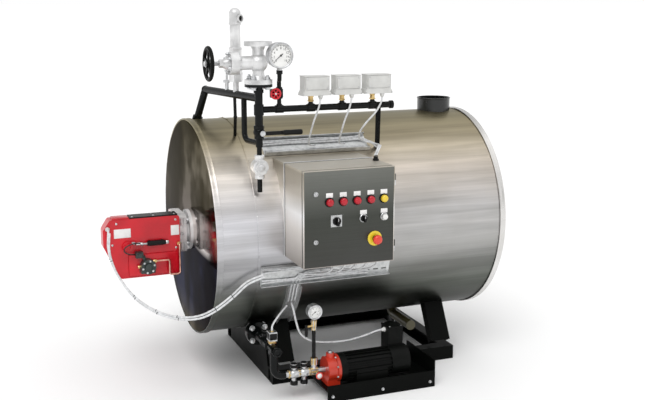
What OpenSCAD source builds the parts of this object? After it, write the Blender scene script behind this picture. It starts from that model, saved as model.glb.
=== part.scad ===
// Packaged three-pass steam boiler with burner, valves, control panel and feed pump on a steel base

/* [Shell] */
// Radius of the jacket's outer face
shell_r = 489; // [470:1:510]
// Length of the jacket between the two covers
shell_len = 1377; // [1340:1:1500]
// Height of the jacket's underside above the floor
shell_gap = 191; // [180:1:220]
// Length of the short course at the front of the jacket
front_course_len = 182; // [120:1:220]
// Sheet thickness of the two end covers
cover_t = 4; // [2:0.5:6]
// Length of the covers' skirts over the jacket
skirt_len = 24; // [12:1:40]
// Radius of the covers' rolled corners
cover_round = 10; // [6:1:16]

/* [Flue] */
// Outside diameter of the flue stub
flue_od = 160; // [120:1:180]
// Wall of the flue stub
flue_wall = 4; // [2:0.5:8]
// Height of the flue's rim above the top of the jacket
flue_rise = 60; // [40:1:120]
// Distance of the flue's axis from the rear end of the jacket
flue_inset = 129; // [110:1:200]

/* [Base] */
// Height of the base rails
rail_h = 65; // [50:1:80]
// Width of the base rails
rail_w = 60; // [56:1:70]
// Steel thickness of rails, beams and legs
steel_t = 7; // [4:0.5:10]
// Lean of the legs from the vertical
leg_lean = 28.5; // [26:0.5:30]
// Width of a leg along the boiler
leg_w = 97; // [80:1:110]
// Depth of a leg's flanges
leg_d = 44; // [30:1:48]
// Distance of the front legs ahead of the boiler's middle
front_leg_x = 352; // [330:1:380]
// Distance of the rear legs behind the boiler's middle
rear_leg_x = 448; // [420:1:470]

/* [Burner] */
// Length of the burner's casing
burner_len = 315; // [260:1:360]
// Width of the burner's casing
burner_w = 280; // [240:1:300]
// Height of the burner's casing
burner_h = 266; // [256:1:276]
// Length of the flange neck between cover and casing
burner_neck = 75; // [60:1:100]
// Drop of the burner's middle below the boiler's axis
burner_drop = 13; // [8:1:20]
// Height of the casing's top above the burner's middle
burner_rise = 99; // [95:1:104]
// Depth of the casing's hood on the viewer's side
hood_d = 70; // [62:1:80]
// Reach of the casing's nose past its top edge
burner_nose = 22; // [12:1:40]
// Drop of the casing's nose below its top
nose_drop = 46; // [42:1:56]
// Rounding of the casing's upright corners at its free end
casing_round = 12; // [8:1:16]

/* [Steam fittings] */
// Outside diameter of the steam pipe and the stand pipe
steam_od = 33.4; // [30:0.1:38]
// Distance of the stand pipe ahead of the boiler's middle
stand_x = 495; // [480:1:520]
// Distance of the stand pipe inside the jacket's side
stand_in = 27; // [20:1:34]
// Height of the pressure manifold above the jacket's top
manifold_h = 86; // [75:1:100]
// Outside diameter of the pressure manifold
manifold_od = 26.9; // [24:0.1:30]
// Length of the manifold from the stand pipe to its cap
manifold_len = 595; // [590:1:640]
// Height of the steam pipe's level run above the jacket's top
steam_h = 134; // [130:1:142]
// Height of the stop valve's lower flange above the jacket's top
stop_h = 193; // [185:1:210]
// Length of the stop valve between its flange faces
stop_len = 172; // [160:1:180]
// Diameter of the stop valve's flanges
stop_flange_d = 115; // [112:1:125]
// Thickness of the stop valve's flanges
stop_flange_t = 18; // [14:1:22]
// Bolt circle of the stop valve's flanges
stop_pcd = 85; // [80:1:88]
// Diameter of the stop valve's bolt holes
stop_hole_d = 14; // [11:1:15]
// Diameter of the stop valve's handwheel
wheel_d = 143; // [120:1:150]
// Width of a pressure switch
switch_w = 126; // [110:1:130]
// Height of a pressure switch
switch_h = 80; // [70:1:90]
// Depth of a pressure switch
switch_d = 62; // [50:1:70]
// Spacing of the pressure switches
switch_pitch = 142; // [138:1:150]
// Diameter of the pressure gauge
gauge_d = 104; // [90:1:106]
// Height of the pressure gauge's middle above the jacket's top
gauge_h = 311; // [305:1:320]
// Height of the safety valve's top above the jacket's top
safety_h = 498; // [480:1:520]
// Drop of the drain valve below the jacket's top
drain_drop = 7; // [0:1:12]
// Drop of the steam trap below the jacket's top
trap_drop = 152; // [146:1:165]
// Length of the drain valve's lever
lever_len = 172; // [140:1:176]

/* [Control panel] */
// Width and height of the control panel
panel_w = 400; // [380:1:420]
// Depth of the panel's box without its door
panel_d = 207; // [180:1:230]
// Thickness of the panel's door
door_t = 18; // [14:1:24]
// Clearance between the door and the box
door_gap = 5; // [5:0.5:8]
// Sheet thickness of the box and the door
panel_t = 3; // [2:0.5:4]
// Least gap between the panel's back and the jacket
panel_gap = 6; // [5:1:12]
// Distance of the panel's middle ahead of the boiler's middle
panel_x = 197; // [180:1:215]
// Height of the panel's middle above the boiler's axis
panel_h = 151; // [140:1:165]
// Reach of the emergency stop button in front of the door
estop_reach = 45; // [38:1:55]

/* [Cable trays] */
// Width of the cable trays
tray_w = 92; // [70:1:100]
// Height of the trays' sides
tray_side = 22; // [14:1:30]
// Sheet thickness of the trays
tray_t = 2; // [1.5:0.5:3]

/* [Feed group] */
// Outside diameter of the feed pipe
feed_od = 33.4; // [28:0.1:38]
// Distance of the feed line outside the jacket's side
feed_out = 61; // [55:1:70]
// Distance of the feed inlet ahead of the boiler's middle
feed_x = 470; // [462:1:480]
// Height of the feed inlet above the jacket's underside
feed_rise = 49; // [40:1:60]
// Height of the pump's axis
pump_h = 118; // [116:1:126]
// Diameter of the pump's head
pump_d = 124; // [110:1:126]
// Diameter of the pump's motor
motor_d = 128; // [116:1:130]
// Length of the pump's motor
motor_len = 330; // [300:1:340]
// Height of the pump tray
pump_tray_h = 45; // [40:1:47]
// Height of the pump tray's apron
apron_h = 76; // [70:1:80]
// Length of the pump tray
pump_tray_len = 516; // [500:1:540]

/* [Hidden] */
$fn = 64;

// Gap that keeps seated pieces from overlapping
seat = 0.2;
// Running clearance of shafts in their bores
run_gap = 0.1;
// Overshoot of cutting bodies
eps = 1;

// Height of the boiler's axis above the floor
axis_h = shell_gap + shell_r;
// Ends of the jacket and the boiler's outermost faces
x_front = -shell_len / 2;
x_rear = shell_len / 2;
rim_r = shell_r + seat + cover_t;
shell_top = axis_h + shell_r;
burner_x1 = x_front - cover_t - burner_neck;
burner_x0 = burner_x1 - burner_len;
panel_back = -(shell_r + panel_gap);
box_front = panel_back - panel_d;
door_face = box_front - door_gap - door_t;
x_min = burner_x0 - burner_nose;
x_max = x_rear + cover_t;
y_min = door_face - estop_reach;
y_max = rim_r;
// The part's origin is the middle of its outline on the floor
origin = [-(x_min + x_max) / 2, -(y_min + y_max) / 2, 0];

module placed() {
    translate(origin) children();
}

// Places the children's +Z along the line from a to b
module along(a, b) {
    d = b - a;
    translate(a) rotate([0, acos(d.z / norm(d)), atan2(d.y, d.x)]) children();
}

module rod(a, b, r) {
    along(a, b) cylinder(r = r, h = norm(b - a));
}

// Cylinder along X from x0 to x1
module x_rod(x0, x1, y, z, r) {
    translate([x0, y, z]) rotate([0, 90, 0]) cylinder(r = r, h = x1 - x0);
}

// Cylinder towards the viewer's side, from y0 out to y1
module y_rod(x, y0, y1, z, r) {
    translate([x, y0, z]) rotate([90, 0, 0]) cylinder(r = r, h = y0 - y1);
}

function unit(v) = v / norm(v);
function turn(p, i) = acos(unit(p[i] - p[i - 1]) * unit(p[i + 1] - p[i]));
// Length that the bend at point i takes from each of its two legs
function trim_at(p, i, bend) = i <= 0 || i >= len(p) - 1 ? 0 : bend * tan(turn(p, i) / 2);

// Round pipe along points with one bend radius
module bent_pipe(p, r, bend) {
    for (i = [0 : len(p) - 2]) {
        u = unit(p[i + 1] - p[i]);
        rod(p[i] + u * trim_at(p, i, bend), p[i + 1] - u * trim_at(p, i + 1, bend), r);
    }
    for (i = [1 : 1 : len(p) - 2]) {
        u = unit(p[i] - p[i - 1]);
        v = unit(p[i + 1] - p[i]);
        n = unit(v - u * (u * v));
        w = cross(-n, u);
        c = p[i] - u * trim_at(p, i, bend) + n * bend;
        multmatrix([[-n.x, u.x, w.x, c.x], [-n.y, u.y, w.y, c.y], [-n.z, u.z, w.z, c.z], [0, 0, 0, 1]])
            rotate_extrude(angle = turn(p, i)) translate([bend, 0]) circle(r = r);
    }
}

// Points of an outline with its corners rounded
function rounded(p, r, steps = 6) = [for (i = [0 : len(p) - 1])
    let (b = p[i],
        u = unit(p[(i + len(p) - 1) % len(p)] - b),
        v = unit(p[(i + 1) % len(p)] - b),
        half = acos(u * v) / 2,
        sweep = 180 - 2 * half,
        centre = b + unit(u + v) * r / sin(half),
        du = b + u * r / tan(half) - centre,
        dv = b + v * r / tan(half) - centre)
        each [for (k = [0 : steps])
            centre + (sin(sweep * (1 - k / steps)) * du + sin(sweep * k / steps) * dv) / sin(sweep)]];

// Body that trims a piece to sit on the jacket
module shell_cut() {
    x_rod(x_front - eps, x_rear + eps, 0, axis_h, shell_r + seat);
}

// Hexagon prism along Z, by width across flats
module hex(flats, h) {
    cylinder(d = flats / cos(30), h = h, $fn = 6);
}

// Half outline of an end cover, from its middle to the end of its skirt
module cover_profile() {
    difference() {
        union() {
            square([rim_r - cover_round, cover_t]);
            translate([0, cover_round]) square([rim_r, skirt_len - cover_round + cover_t]);
            translate([rim_r - cover_round, cover_round]) circle(r = cover_round);
        }
        translate([-eps, cover_t]) square([shell_r + seat + eps, skirt_len + eps]);
    }
}

module cover() {
    rotate_extrude($fn = 180) intersection() {
        cover_profile();
        square([rim_r, skirt_len + cover_t]);
    }
}

// Jacket and covers
course_seam = x_front + front_course_len;
seam_w = 8;
seam_h = 2;
flue_x = x_rear - flue_inset;
flue_bore = flue_od - 2 * flue_wall;
smoke_hole = flue_bore + 4;
smoke_depth = 120;
tube_r = 62;

// The courses are solid: the vessel and the lagging fill them
module jacket_front_course() {
    color([0.78, 0.77, 0.74]) placed() {
        x_rod(x_front, course_seam, 0, axis_h, shell_r, $fn = 180);
        x_rod(course_seam - seam_w, course_seam, 0, axis_h, shell_r + seam_h, $fn = 180);
    }
}

module jacket_main_course() {
    color([0.8, 0.79, 0.76]) placed() difference() {
        x_rod(course_seam, x_rear, 0, axis_h, shell_r, $fn = 180);
        translate([flue_x, 0, shell_top - smoke_depth]) cylinder(d = smoke_hole, h = smoke_depth + eps);
    }
}

module front_cover() {
    color([0.7, 0.7, 0.7]) placed() difference() {
        translate([x_front - cover_t, 0, axis_h]) rotate([0, 90, 0]) cover();
        x_rod(x_front - 2 * cover_t, x_front + cover_t, 0, burner_z, tube_r + seat);
    }
}

module rear_cover() {
    color([0.75, 0.74, 0.72]) placed() translate([x_max, 0, axis_h]) rotate([0, -90, 0]) cover();
}

module flue_stub() {
    color([0.08, 0.08, 0.08]) placed() difference() {
        translate([flue_x, 0, axis_h]) cylinder(d = flue_od, h = shell_r + flue_rise);
        translate([flue_x, 0, axis_h]) cylinder(d = flue_bore, h = shell_r + flue_rise + eps);
        shell_cut();
    }
}

// Base frame
rail_out = (axis_h - rail_h) * tan(leg_lean) + rail_w / 2;
rail_in = rail_out - rail_w;
saddle_t = 10;
frame_x0 = -front_leg_x - leg_w / 2 - 5 - saddle_t;
frame_x1 = rear_leg_x + leg_w / 2 + 8;
beam_w = 55;

// Channel outline, web on the left, flanges to the right
module channel(w, h, t) {
    difference() {
        square([w, h]);
        translate([t, t]) square([w, h - 2 * t]);
    }
}

module base_rails() {
    color([0.05, 0.05, 0.05]) placed() for (side = [0, 1]) mirror([0, side, 0])
        translate([frame_x0, -rail_out, 0]) rotate([90, 0, 90])
            linear_extrude(frame_x1 - frame_x0) channel(rail_w, rail_h, steel_t);
}

module cross_beams() {
    color([0.05, 0.05, 0.05]) placed() {
        translate([frame_x0, rail_in, 0]) rotate([90, 0, 0])
            linear_extrude(2 * rail_in) channel(beam_w, rail_h, steel_t);
        translate([frame_x1, -rail_in, 0]) rotate([90, 0, 180])
            linear_extrude(2 * rail_in) channel(beam_w, rail_h, steel_t);
    }
}

module front_saddle() {
    foot = rail_in - 10;
    neck = shell_r * sin(leg_lean);
    top = axis_h - shell_r * cos(leg_lean);
    color([0.05, 0.05, 0.05]) placed() difference() {
        translate([frame_x0, 0, 0]) rotate([90, 0, 90]) linear_extrude(saddle_t)
            polygon([[-foot, rail_h], [foot, rail_h], [neck, top], [-neck, top]]);
        shell_cut();
    }
}

module leg(x, side) {
    difference() {
        translate([x, 0, axis_h]) rotate([side * leg_lean, 0, 0]) translate([-leg_w / 2, leg_d / 2, -axis_h])
            rotate([0, 0, -90]) linear_extrude(axis_h) channel_flat(leg_d, leg_w, steel_t);
        shell_cut();
        translate([x - leg_w, -axis_h, -axis_h]) cube([2 * leg_w, 2 * axis_h, axis_h + rail_h]);
    }
}

// Channel outline for a leg, its web towards the viewer
module channel_flat(d, w, t) {
    difference() {
        square([d, w]);
        translate([-eps, t]) square([d - t + eps, w - 2 * t]);
    }
}

module legs() {
    color([0.05, 0.05, 0.05]) placed() {
        leg(-front_leg_x, -1);
        leg(rear_leg_x, -1);
        mirror([0, 1, 0]) leg(-front_leg_x, -1);
        mirror([0, 1, 0]) leg(rear_leg_x, -1);
    }
}

// Burner
burner_z = axis_h - burner_drop;
burner_top = burner_z + burner_rise;
burner_bottom = burner_top - burner_h;
burner_face = -burner_w / 2;
flange_r = 92;
flange_t = 14;
neck_r = 60;
mouth_half = 86;
mouth_t = 44;
lug_r = 10;
lid_t = 6;
lid_len = 212;
rear_w = 185;
rear_len = 248;
rear_inset = 45;
boss_x = burner_x1 - 233;
boss_z = burner_bottom + 146;
boss_r = 22;
boss_t = 12;
gland_len = 16;
gland_in = 18.5;
gland_drop = 36;
burner_gland = [x_min + gland_in, burner_face - gland_len, burner_top - gland_drop];

// Mounting casting: square mouth, neck, round flange and the hinge lugs
module burner_flange() {
    color([0.62, 0.62, 0.6]) placed() {
        x_rod(x_front - cover_t - flange_t, x_front - cover_t, 0, burner_z, flange_r);
        x_rod(burner_x1, x_front - cover_t - flange_t, 0, burner_z, neck_r);
        x_rod(x_front - cover_t, x_front - seat, 0, burner_z, tube_r);
        translate([burner_x1, 0, burner_z]) rotate([90, 0, 90]) linear_extrude(mouth_t)
            polygon(rounded([[-mouth_half, -mouth_half], [mouth_half, -mouth_half],
                [mouth_half, mouth_half], [-mouth_half, mouth_half]], 18));
        for (side = [-1, 1]) translate([burner_x1 + mouth_t / 2, -mouth_half, burner_z + side * 56 - 17])
            cylinder(r = lug_r, h = 34);
    }
}

// Hood on the viewer's side with the plain fan housing behind it
module burner_casing() {
    side = [[burner_x1, burner_bottom], [burner_x1, burner_top], [burner_x0 + 8, burner_top],
        [x_min, burner_top - nose_drop], [x_min, burner_bottom + 150], [burner_x0 + 48, burner_bottom]];
    hood_back = burner_face + hood_d;
    plan = [[x_min - eps, burner_face], [burner_x1 + 2 * casing_round, burner_face],
        [burner_x1 + 2 * casing_round, hood_back], [x_min - eps, hood_back]];
    rear = [[burner_x1, burner_bottom + rear_inset], [burner_x1, burner_top - rear_inset],
        [burner_x1 - rear_len, burner_top - rear_inset], [burner_x1 - rear_len, burner_bottom + rear_inset]];
    color([0.75, 0.08, 0.1]) placed() {
        intersection() {
            translate([0, hood_back, 0]) rotate([90, 0, 0]) linear_extrude(hood_d) polygon(rounded(side, 12));
            translate([0, 0, burner_bottom - eps]) linear_extrude(burner_h + 2 * eps)
                polygon(rounded(plan, casing_round));
        }
        translate([0, hood_back + rear_w, 0]) rotate([90, 0, 0]) linear_extrude(rear_w + eps)
            polygon(rounded(rear, 16));
        y_rod(boss_x, burner_face + eps, burner_face - boss_t, boss_z, boss_r);
        y_rod(burner_gland.x, burner_face + 20, burner_gland.y, burner_gland.z, gland_r);
    }
}

module burner_lid() {
    color([0.08, 0.08, 0.08]) placed() translate([burner_x1 - 8 - lid_len, burner_face + 2, burner_top])
        cube([lid_len, hood_d - 4, lid_t]);
}

fuel_pump_x = burner_x1 - 152;
fuel_pump_z = burner_bottom + 54;
fuel_pump_d = 66;
fuel_pump_len = 46;

module burner_fuel_pump() {
    color([0.1, 0.14, 0.12]) placed() {
        y_rod(fuel_pump_x, burner_face, burner_face - fuel_pump_len, fuel_pump_z, fuel_pump_d / 2);
        y_rod(fuel_pump_x, burner_face - fuel_pump_len, burner_face - fuel_pump_len - 14, fuel_pump_z, 17);
    }
}

module burner_servo() {
    color([0.12, 0.1, 0.1]) placed() translate([burner_x1 - 150, burner_face - 26, burner_bottom + 142])
        cube([96, 26, 24]);
}

oil_pipe_r = 4;
oil_rise = 140;

module burner_oil_pipe() {
    y = burner_face - 24;
    z = fuel_pump_z;
    x = fuel_pump_x + fuel_pump_d / 2 - 12;
    color([0.75, 0.5, 0.4]) placed() difference() {
        bent_pipe([[x, y, z + 20], [burner_x1 - 55, y, z + 20], [burner_x1 - 55, y, burner_bottom + 6],
            [burner_x1 - 8, y, burner_bottom + 6], [burner_x1 - 8, y, burner_bottom + oil_rise],
            [burner_x1 - 8, burner_face, burner_bottom + oil_rise]], oil_pipe_r, 10);
        y_rod(fuel_pump_x, burner_face + eps, burner_face - fuel_pump_len - eps, z, fuel_pump_d / 2 + seat);
    }
}

// Steam pipe, stand pipe and manifold
steam_r = steam_od / 2;
sx = -stand_x;
sy = -(shell_r - stand_in);
steam_z = shell_top + steam_h;
manifold_z = shell_top + manifold_h;
manifold_r = manifold_od / 2;
stop_z = shell_top + stop_h;
drain_z = shell_top - drain_drop;
drain_half = 28;
steam_foot = [x_front + 56, 52, shell_top - 20];
steam_corner = [x_front + 92, 8, steam_z];
elbow_t = 1.5;
foot_r = 23;
foot_len = 32;
companion_t = 12;
riser_r = 7;

module steam_pipe() {
    riser_top = steam_at(0.57);
    riser_mid = riser_top + [4, 8, -98];
    color([0.04, 0.05, 0.05]) placed() difference() {
        union() {
            rod(riser_top, riser_mid, riser_r);
            translate(riser_mid) sphere(r = riser_r + elbow_t);
            rod(riser_mid, riser_mid + [10, 47, -105], riser_r);
            rod(steam_foot, steam_corner, steam_r);
            rod(steam_corner, [sx, sy, steam_z], steam_r);
            translate(steam_corner) sphere(r = steam_r + elbow_t);
            rod(steam_foot, steam_foot + unit(steam_corner - steam_foot) * foot_len, foot_r);
        }
        shell_cut();
        translate([sx, sy, stop_z]) mirror([0, 0, 1]) cylinder(r = steam_r + seat, h = stop_h);
    }
}

module stand_pipe() {
    color([0.04, 0.05, 0.05]) placed() {
        translate([sx, sy, drain_z + drain_half]) cylinder(r = steam_r, h = stop_z - drain_z - drain_half);
        translate([sx, sy, manifold_z - 22]) cylinder(r = steam_r + 4, h = 44);
        translate([sx, sy, steam_z + 22]) cylinder(r = steam_r + 4, h = 14);
        translate([sx, sy, stop_z - companion_t]) cylinder(r = stop_flange_d / 2, h = companion_t);
    }
}

cap_len = 14;
switch_x0 = sx + 229;
switch_xs = [for (i = [0 : 2]) switch_x0 + i * switch_pitch];
gauge_x = sx + 89;
stub_h = 30;
gauge_stub = 48;
tee_t = 3;
tee_len = 34;

module pressure_manifold() {
    color([0.04, 0.05, 0.05]) placed() difference() {
        union() {
            x_rod(sx, sx + manifold_len, sy, manifold_z, manifold_r);
            x_rod(sx + manifold_len, sx + manifold_len + cap_len, sy, manifold_z, manifold_r + 4);
            for (x = switch_xs) translate([x, sy, manifold_z]) cylinder(r = 9, h = stub_h);
            translate([gauge_x, sy, manifold_z]) cylinder(r = 9, h = gauge_stub);
            for (x = [gauge_x, each switch_xs]) {
                x_rod(x - tee_len / 2, x + tee_len / 2, sy, manifold_z, manifold_r + tee_t);
                translate([x, sy, manifold_z]) cylinder(r = 9 + tee_t, h = manifold_r + 8);
            }
        }
        translate([sx, sy, manifold_z - 30]) cylinder(r = steam_r + 4 + seat, h = 60);
    }
}

bracket_x = sx + manifold_len - 53;
bracket_w = 22;
bracket_t = 6;

module manifold_bracket() {
    foot = [bracket_x + 61, -shell_r * sin(41), axis_h + shell_r * cos(41)];
    top = [bracket_x, sy, manifold_z];
    color([0.04, 0.05, 0.05]) placed() difference() {
        along(foot - 6 * unit(top - foot), top) translate([-bracket_t / 2, -bracket_w / 2, 0])
            cube([bracket_t, bracket_w, norm(top - foot) + 6]);
        shell_cut();
        x_rod(sx, sx + manifold_len, sy, manifold_z, manifold_r + seat);
    }
}

// Stop valve
stop_mid = stop_z + stop_len / 2;
stop_r = stop_flange_d / 2;
bonnet_x0 = 88;
bonnet_t = 18;
stem_r = 8;
hub_x = 209;

module stop_flange() {
    difference() {
        cylinder(r = stop_r, h = stop_flange_t);
        for (i = [0 : 3]) rotate(45 + 90 * i) translate([stop_pcd / 2, 0, -eps])
            cylinder(d = stop_hole_d, h = stop_flange_t + 2 * eps);
    }
}

ball_r = 40;
arm_r = 28;
throat_r = 30;
port_r = 14;

module stop_valve_body() {
    color([0.82, 0.83, 0.84]) placed() difference() {
        translate([sx, sy, stop_z]) {
            stop_flange();
            translate([0, 0, stop_len - stop_flange_t]) stop_flange();
            cylinder(r = 24, h = stop_len);
            translate([0, 0, stop_flange_t]) cylinder(r1 = throat_r, r2 = 24, h = 16);
            translate([0, 0, stop_len - stop_flange_t - 16]) cylinder(r1 = 24, r2 = throat_r, h = 16);
            translate([0, 0, stop_len / 2]) sphere(r = ball_r);
            translate([0, 0, stop_len / 2]) rotate([0, -90, 0]) cylinder(r = arm_r, h = bonnet_x0);
            translate([-bonnet_x0, 0, stop_len / 2]) rotate([0, -90, 0]) cylinder(r = 46, h = bonnet_t);
        }
        translate([sx, sy, stop_z + stop_len - 60]) cylinder(r = port_r, h = 60 + eps);
    }
}

bonnet_x1 = bonnet_x0 + bonnet_t;

module stop_valve_bonnet() {
    color([0.82, 0.83, 0.84]) placed() translate([sx, sy, stop_mid]) rotate([0, -90, 0]) difference() {
        union() {
            translate([0, 0, bonnet_x1]) cylinder(r = 46, h = bonnet_t);
            translate([0, 0, bonnet_x1 + bonnet_t]) cylinder(r1 = 30, r2 = 17, h = 26);
            translate([0, 0, bonnet_x1 + bonnet_t + 26]) hex(30, 16);
        }
        translate([0, 0, bonnet_x1 + 4]) cylinder(r = stem_r + run_gap, h = 80);
    }
}

module stop_valve_stem() {
    color([0.7, 0.7, 0.72]) placed() translate([sx, sy, stop_mid]) rotate([0, -90, 0])
        translate([0, 0, bonnet_x1 + 6]) cylinder(r = stem_r, h = hub_x + 14 - bonnet_x1 - 6);
}

wheel_rim = 8;

module stop_valve_wheel() {
    rim = wheel_d / 2 - wheel_rim;
    color([0.06, 0.06, 0.06]) placed() translate([sx - hub_x, sy, stop_mid]) rotate([0, -90, 0]) difference() {
        union() {
            rotate_extrude() translate([rim, 0]) circle(r = wheel_rim);
            translate([0, 0, -12]) cylinder(r = 17, h = 22);
            for (i = [0 : 4]) rotate(72 * i) translate([0, -7, -4]) cube([rim, 14, 8]);
        }
        translate([0, 0, -20]) cylinder(r = stem_r + seat / 2, h = 40);
    }
}

// Fittings on the steam pipe's level run
function steam_at(t) = steam_corner + t * ([sx, sy, steam_z] - steam_corner);
safety_at = steam_at(0.6);
safety_top = shell_top + safety_h;

module safety_valve() {
    base = safety_at.z + 55;
    color([0.82, 0.83, 0.84]) placed() difference() {
        translate([safety_at.x, safety_at.y, 0]) {
            translate([0, 0, safety_at.z]) cylinder(r = 13, h = 56);
            translate([0, 0, base]) hex(52, 34);
            translate([0, 0, base + 34]) cylinder(r1 = 30, r2 = 26, h = 16);
            translate([0, 0, base + 50]) cylinder(r = 26, h = 90);
            translate([0, 0, base + 140]) cylinder(r = 22, h = safety_top - base - 180);
            translate([0, 0, safety_top - 64]) cylinder(r = 25, h = 39);
            translate([0, 0, safety_top - 25]) sphere(r = 25);
        }
        rod(steam_corner, [sx, sy, steam_z], steam_r + seat);
    }
}

vent_at = steam_at(0.43);

module vent_cock() {
    color([0.6, 0.6, 0.6]) placed() difference() {
        translate([vent_at.x, vent_at.y, vent_at.z]) {
            cylinder(r = 9, h = 46);
            translate([0, 0, 46]) hex(26, 10);
            translate([0, 0, 56]) cylinder(r = 5, h = 44);
        }
        rod(steam_corner, [sx, sy, steam_z], steam_r + seat);
    }
}

loop_r = 12;
loop_at = steam_at(0.74);
loop_z = drain_z - drain_half - 18;

module drain_loop() {
    color([0.04, 0.05, 0.05]) placed() difference() {
        translate(loop_at) rotate(atan2(sy - loop_at.y, sx - loop_at.x))
            bent_pipe([[0, 0, 0], [0, 0, loop_z - loop_at.z],
                [norm([sx - loop_at.x, sy - loop_at.y]), 0, loop_z - loop_at.z]], loop_r, 34);
        rod(steam_corner, [sx, sy, steam_z], steam_r + seat);
        translate([sx, sy, loop_z - 40]) cylinder(r = drain_r + 4 + seat, h = 80);
    }
}

// Drain valve, its lever, the trap and the pipes between them
drain_r = 10.6;
trap_z = shell_top - trap_drop;
trap_half = 49;
lever_y = sy - 44;

module drain_valve() {
    color([0.05, 0.05, 0.05]) placed() difference() {
        union() {
            translate([sx, sy, drain_z - drain_half]) hex(36, 14);
            translate([sx, sy, drain_z + drain_half - 14]) hex(40, 14 - seat);
            translate([sx, sy, drain_z]) sphere(r = 24);
            y_rod(sx, sy, sy - 36, drain_z, 11);
        }
        y_rod(sx, sy - 20, sy - 40, drain_z, 5 + run_gap);
    }
}

grip_r = 9;
grip_x = 84;

module drain_lever() {
    y = lever_y - 3;
    color([0.05, 0.05, 0.05]) placed() {
        y_rod(sx, sy - 21, lever_y - 6, drain_z, 5);
        translate([sx - 11, lever_y - 6, drain_z - 8]) cube([grip_x + 11, 6, 16]);
        x_rod(sx + grip_x, sx + lever_len - grip_r, y, drain_z, grip_r);
        translate([sx + lever_len - grip_r, y, drain_z]) sphere(r = grip_r);
    }
}

module drain_pipes() {
    color([0.04, 0.05, 0.05]) placed() translate([sx, sy, 0]) {
        translate([0, 0, trap_z + trap_half]) cylinder(r = drain_r, h = drain_z - drain_half - trap_z - trap_half);
        translate([0, 0, loop_z - 16]) cylinder(r = drain_r + 4, h = 32);
        translate([0, 0, trap_z - trap_half - 58]) cylinder(r = drain_r, h = 58);
    }
}

module steam_trap() {
    color([0.85, 0.85, 0.84]) placed() translate([sx, sy, trap_z]) {
        translate([0, 0, -trap_half]) hex(34, 2 * trap_half);
        translate([0, 22, 0]) rotate([90, 0, 0]) cylinder(r = 33, h = 44);
        translate([0, -22, 0]) rotate([90, 0, 0]) hex(46, 12);
    }
}

// Pressure switches on the manifold
switch_off = 18;
gland_off = 36;
gland_r = 8;
stem_h = 22;
switch_z = manifold_z + stub_h + stem_h;
switch_gland_out = 22;
switch_gland_len = 12;
switch_gland = [0, sy - switch_gland_out, switch_z - switch_gland_len];

module pressure_switches() {
    color([0.78, 0.79, 0.78]) placed() for (x = switch_xs) {
        translate([x + switch_off - switch_w / 2, sy + switch_d / 2, switch_z]) rotate([90, 0, 0])
            linear_extrude(switch_d) polygon([[0, 0], [switch_w, 0], [switch_w, 8], [switch_w - 8, 22],
                [switch_w - 8, switch_h], [8, switch_h], [8, 22], [0, 8]]);
        translate([x + gland_off, switch_gland.y, switch_gland.z])
            cylinder(r = gland_r, h = switch_gland_len + eps);
    }
}

module switch_stems() {
    color([0.75, 0.6, 0.3]) placed() for (x = switch_xs)
        translate([x, sy, manifold_z + stub_h]) hex(20, stem_h);
}

// Pressure gauge on its siphon, with the cock below
gauge_z = shell_top + gauge_h;
gauge_y = sy - 68;
dial_dx = -21;
dial_x = gauge_x + dial_dx;
gauge_t = 36;
cock_z = manifold_z + gauge_stub;
cock_h = 36;
cock_w = 26;
wheel_dx = -24;
cock_mid = cock_z + cock_h / 2;
siphon_r = 9;
siphon_z = cock_z + cock_h + 40;
siphon_top = gauge_z - gauge_d / 2 - 18;

module pressure_gauge() {
    color([0.92, 0.92, 0.9]) placed() {
        y_rod(dial_x, gauge_y + gauge_t / 2, gauge_y - gauge_t / 2, gauge_z, gauge_d / 2);
        translate([dial_x, gauge_y, siphon_top]) cylinder(r = siphon_r + 2, h = gauge_z - siphon_top - gauge_d / 4);
    }
}

module gauge_cock() {
    color([0.05, 0.05, 0.05]) placed() difference() {
        union() {
            translate([gauge_x + wheel_dx - 13, sy - cock_w / 2, cock_z]) cube([26 - wheel_dx, cock_w, cock_h]);
            y_rod(gauge_x + wheel_dx, sy, sy - 19, cock_mid, 9);
            translate([gauge_x, sy, 0]) rotate(atan2(gauge_y - sy, dial_dx))
                bent_pipe([[0, 0, cock_z + cock_h - eps], [0, 0, siphon_z], [norm([dial_dx, gauge_y - sy]), 0, siphon_z],
                    [norm([dial_dx, gauge_y - sy]), 0, siphon_top]], siphon_r, 18);
        }
        y_rod(gauge_x + wheel_dx, sy, sy - 40, cock_mid, 4 + run_gap);
    }
}

module gauge_cock_wheel() {
    y = sy - 28;
    color([0.75, 0.08, 0.12]) placed() {
        y_rod(gauge_x + wheel_dx, sy - 2, y, cock_mid, 4);
        translate([gauge_x + wheel_dx, y, cock_mid]) rotate([90, 0, 0]) {
            rotate_extrude() translate([20, 0]) circle(r = 4);
            cylinder(r = 7, h = 6, center = true);
            for (i = [0 : 2]) rotate(60 * i) cube([40, 5, 4], center = true);
        }
    }
}

// Control panel
px = -panel_x;
pz = axis_h + panel_h;
half_w = panel_w / 2;
hinge_off = 9;
hinge_x = px + half_w + hinge_off;
hinge_y = box_front - door_gap / 2;
hinge_r = 6;
pin_r = 3;
hinge_zs = [pz - 140, pz + 140];
leaf_h = 24;
gland_edge = 16;
gland_pitch = 50;
gland_count = 5;
gland_back = 102;
top_gland_back = 130;
top_gland_h = 22;
panel_gland = [0, box_front + gland_back, pz - half_w - gland_len];
control_xs = [for (i = [1 : gland_count]) px + half_w - gland_edge - (gland_count - i) * gland_pitch];

module panel_console() {
    color([0.7, 0.69, 0.66]) placed() difference() {
        translate([px - half_w, panel_back, pz - half_w]) cube([panel_w, shell_r, panel_w]);
        translate([px - half_w + panel_t, panel_back - eps, pz - half_w + panel_t])
            cube([panel_w - 2 * panel_t, shell_r + 2 * eps, panel_w - 2 * panel_t]);
        shell_cut();
    }
}

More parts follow.
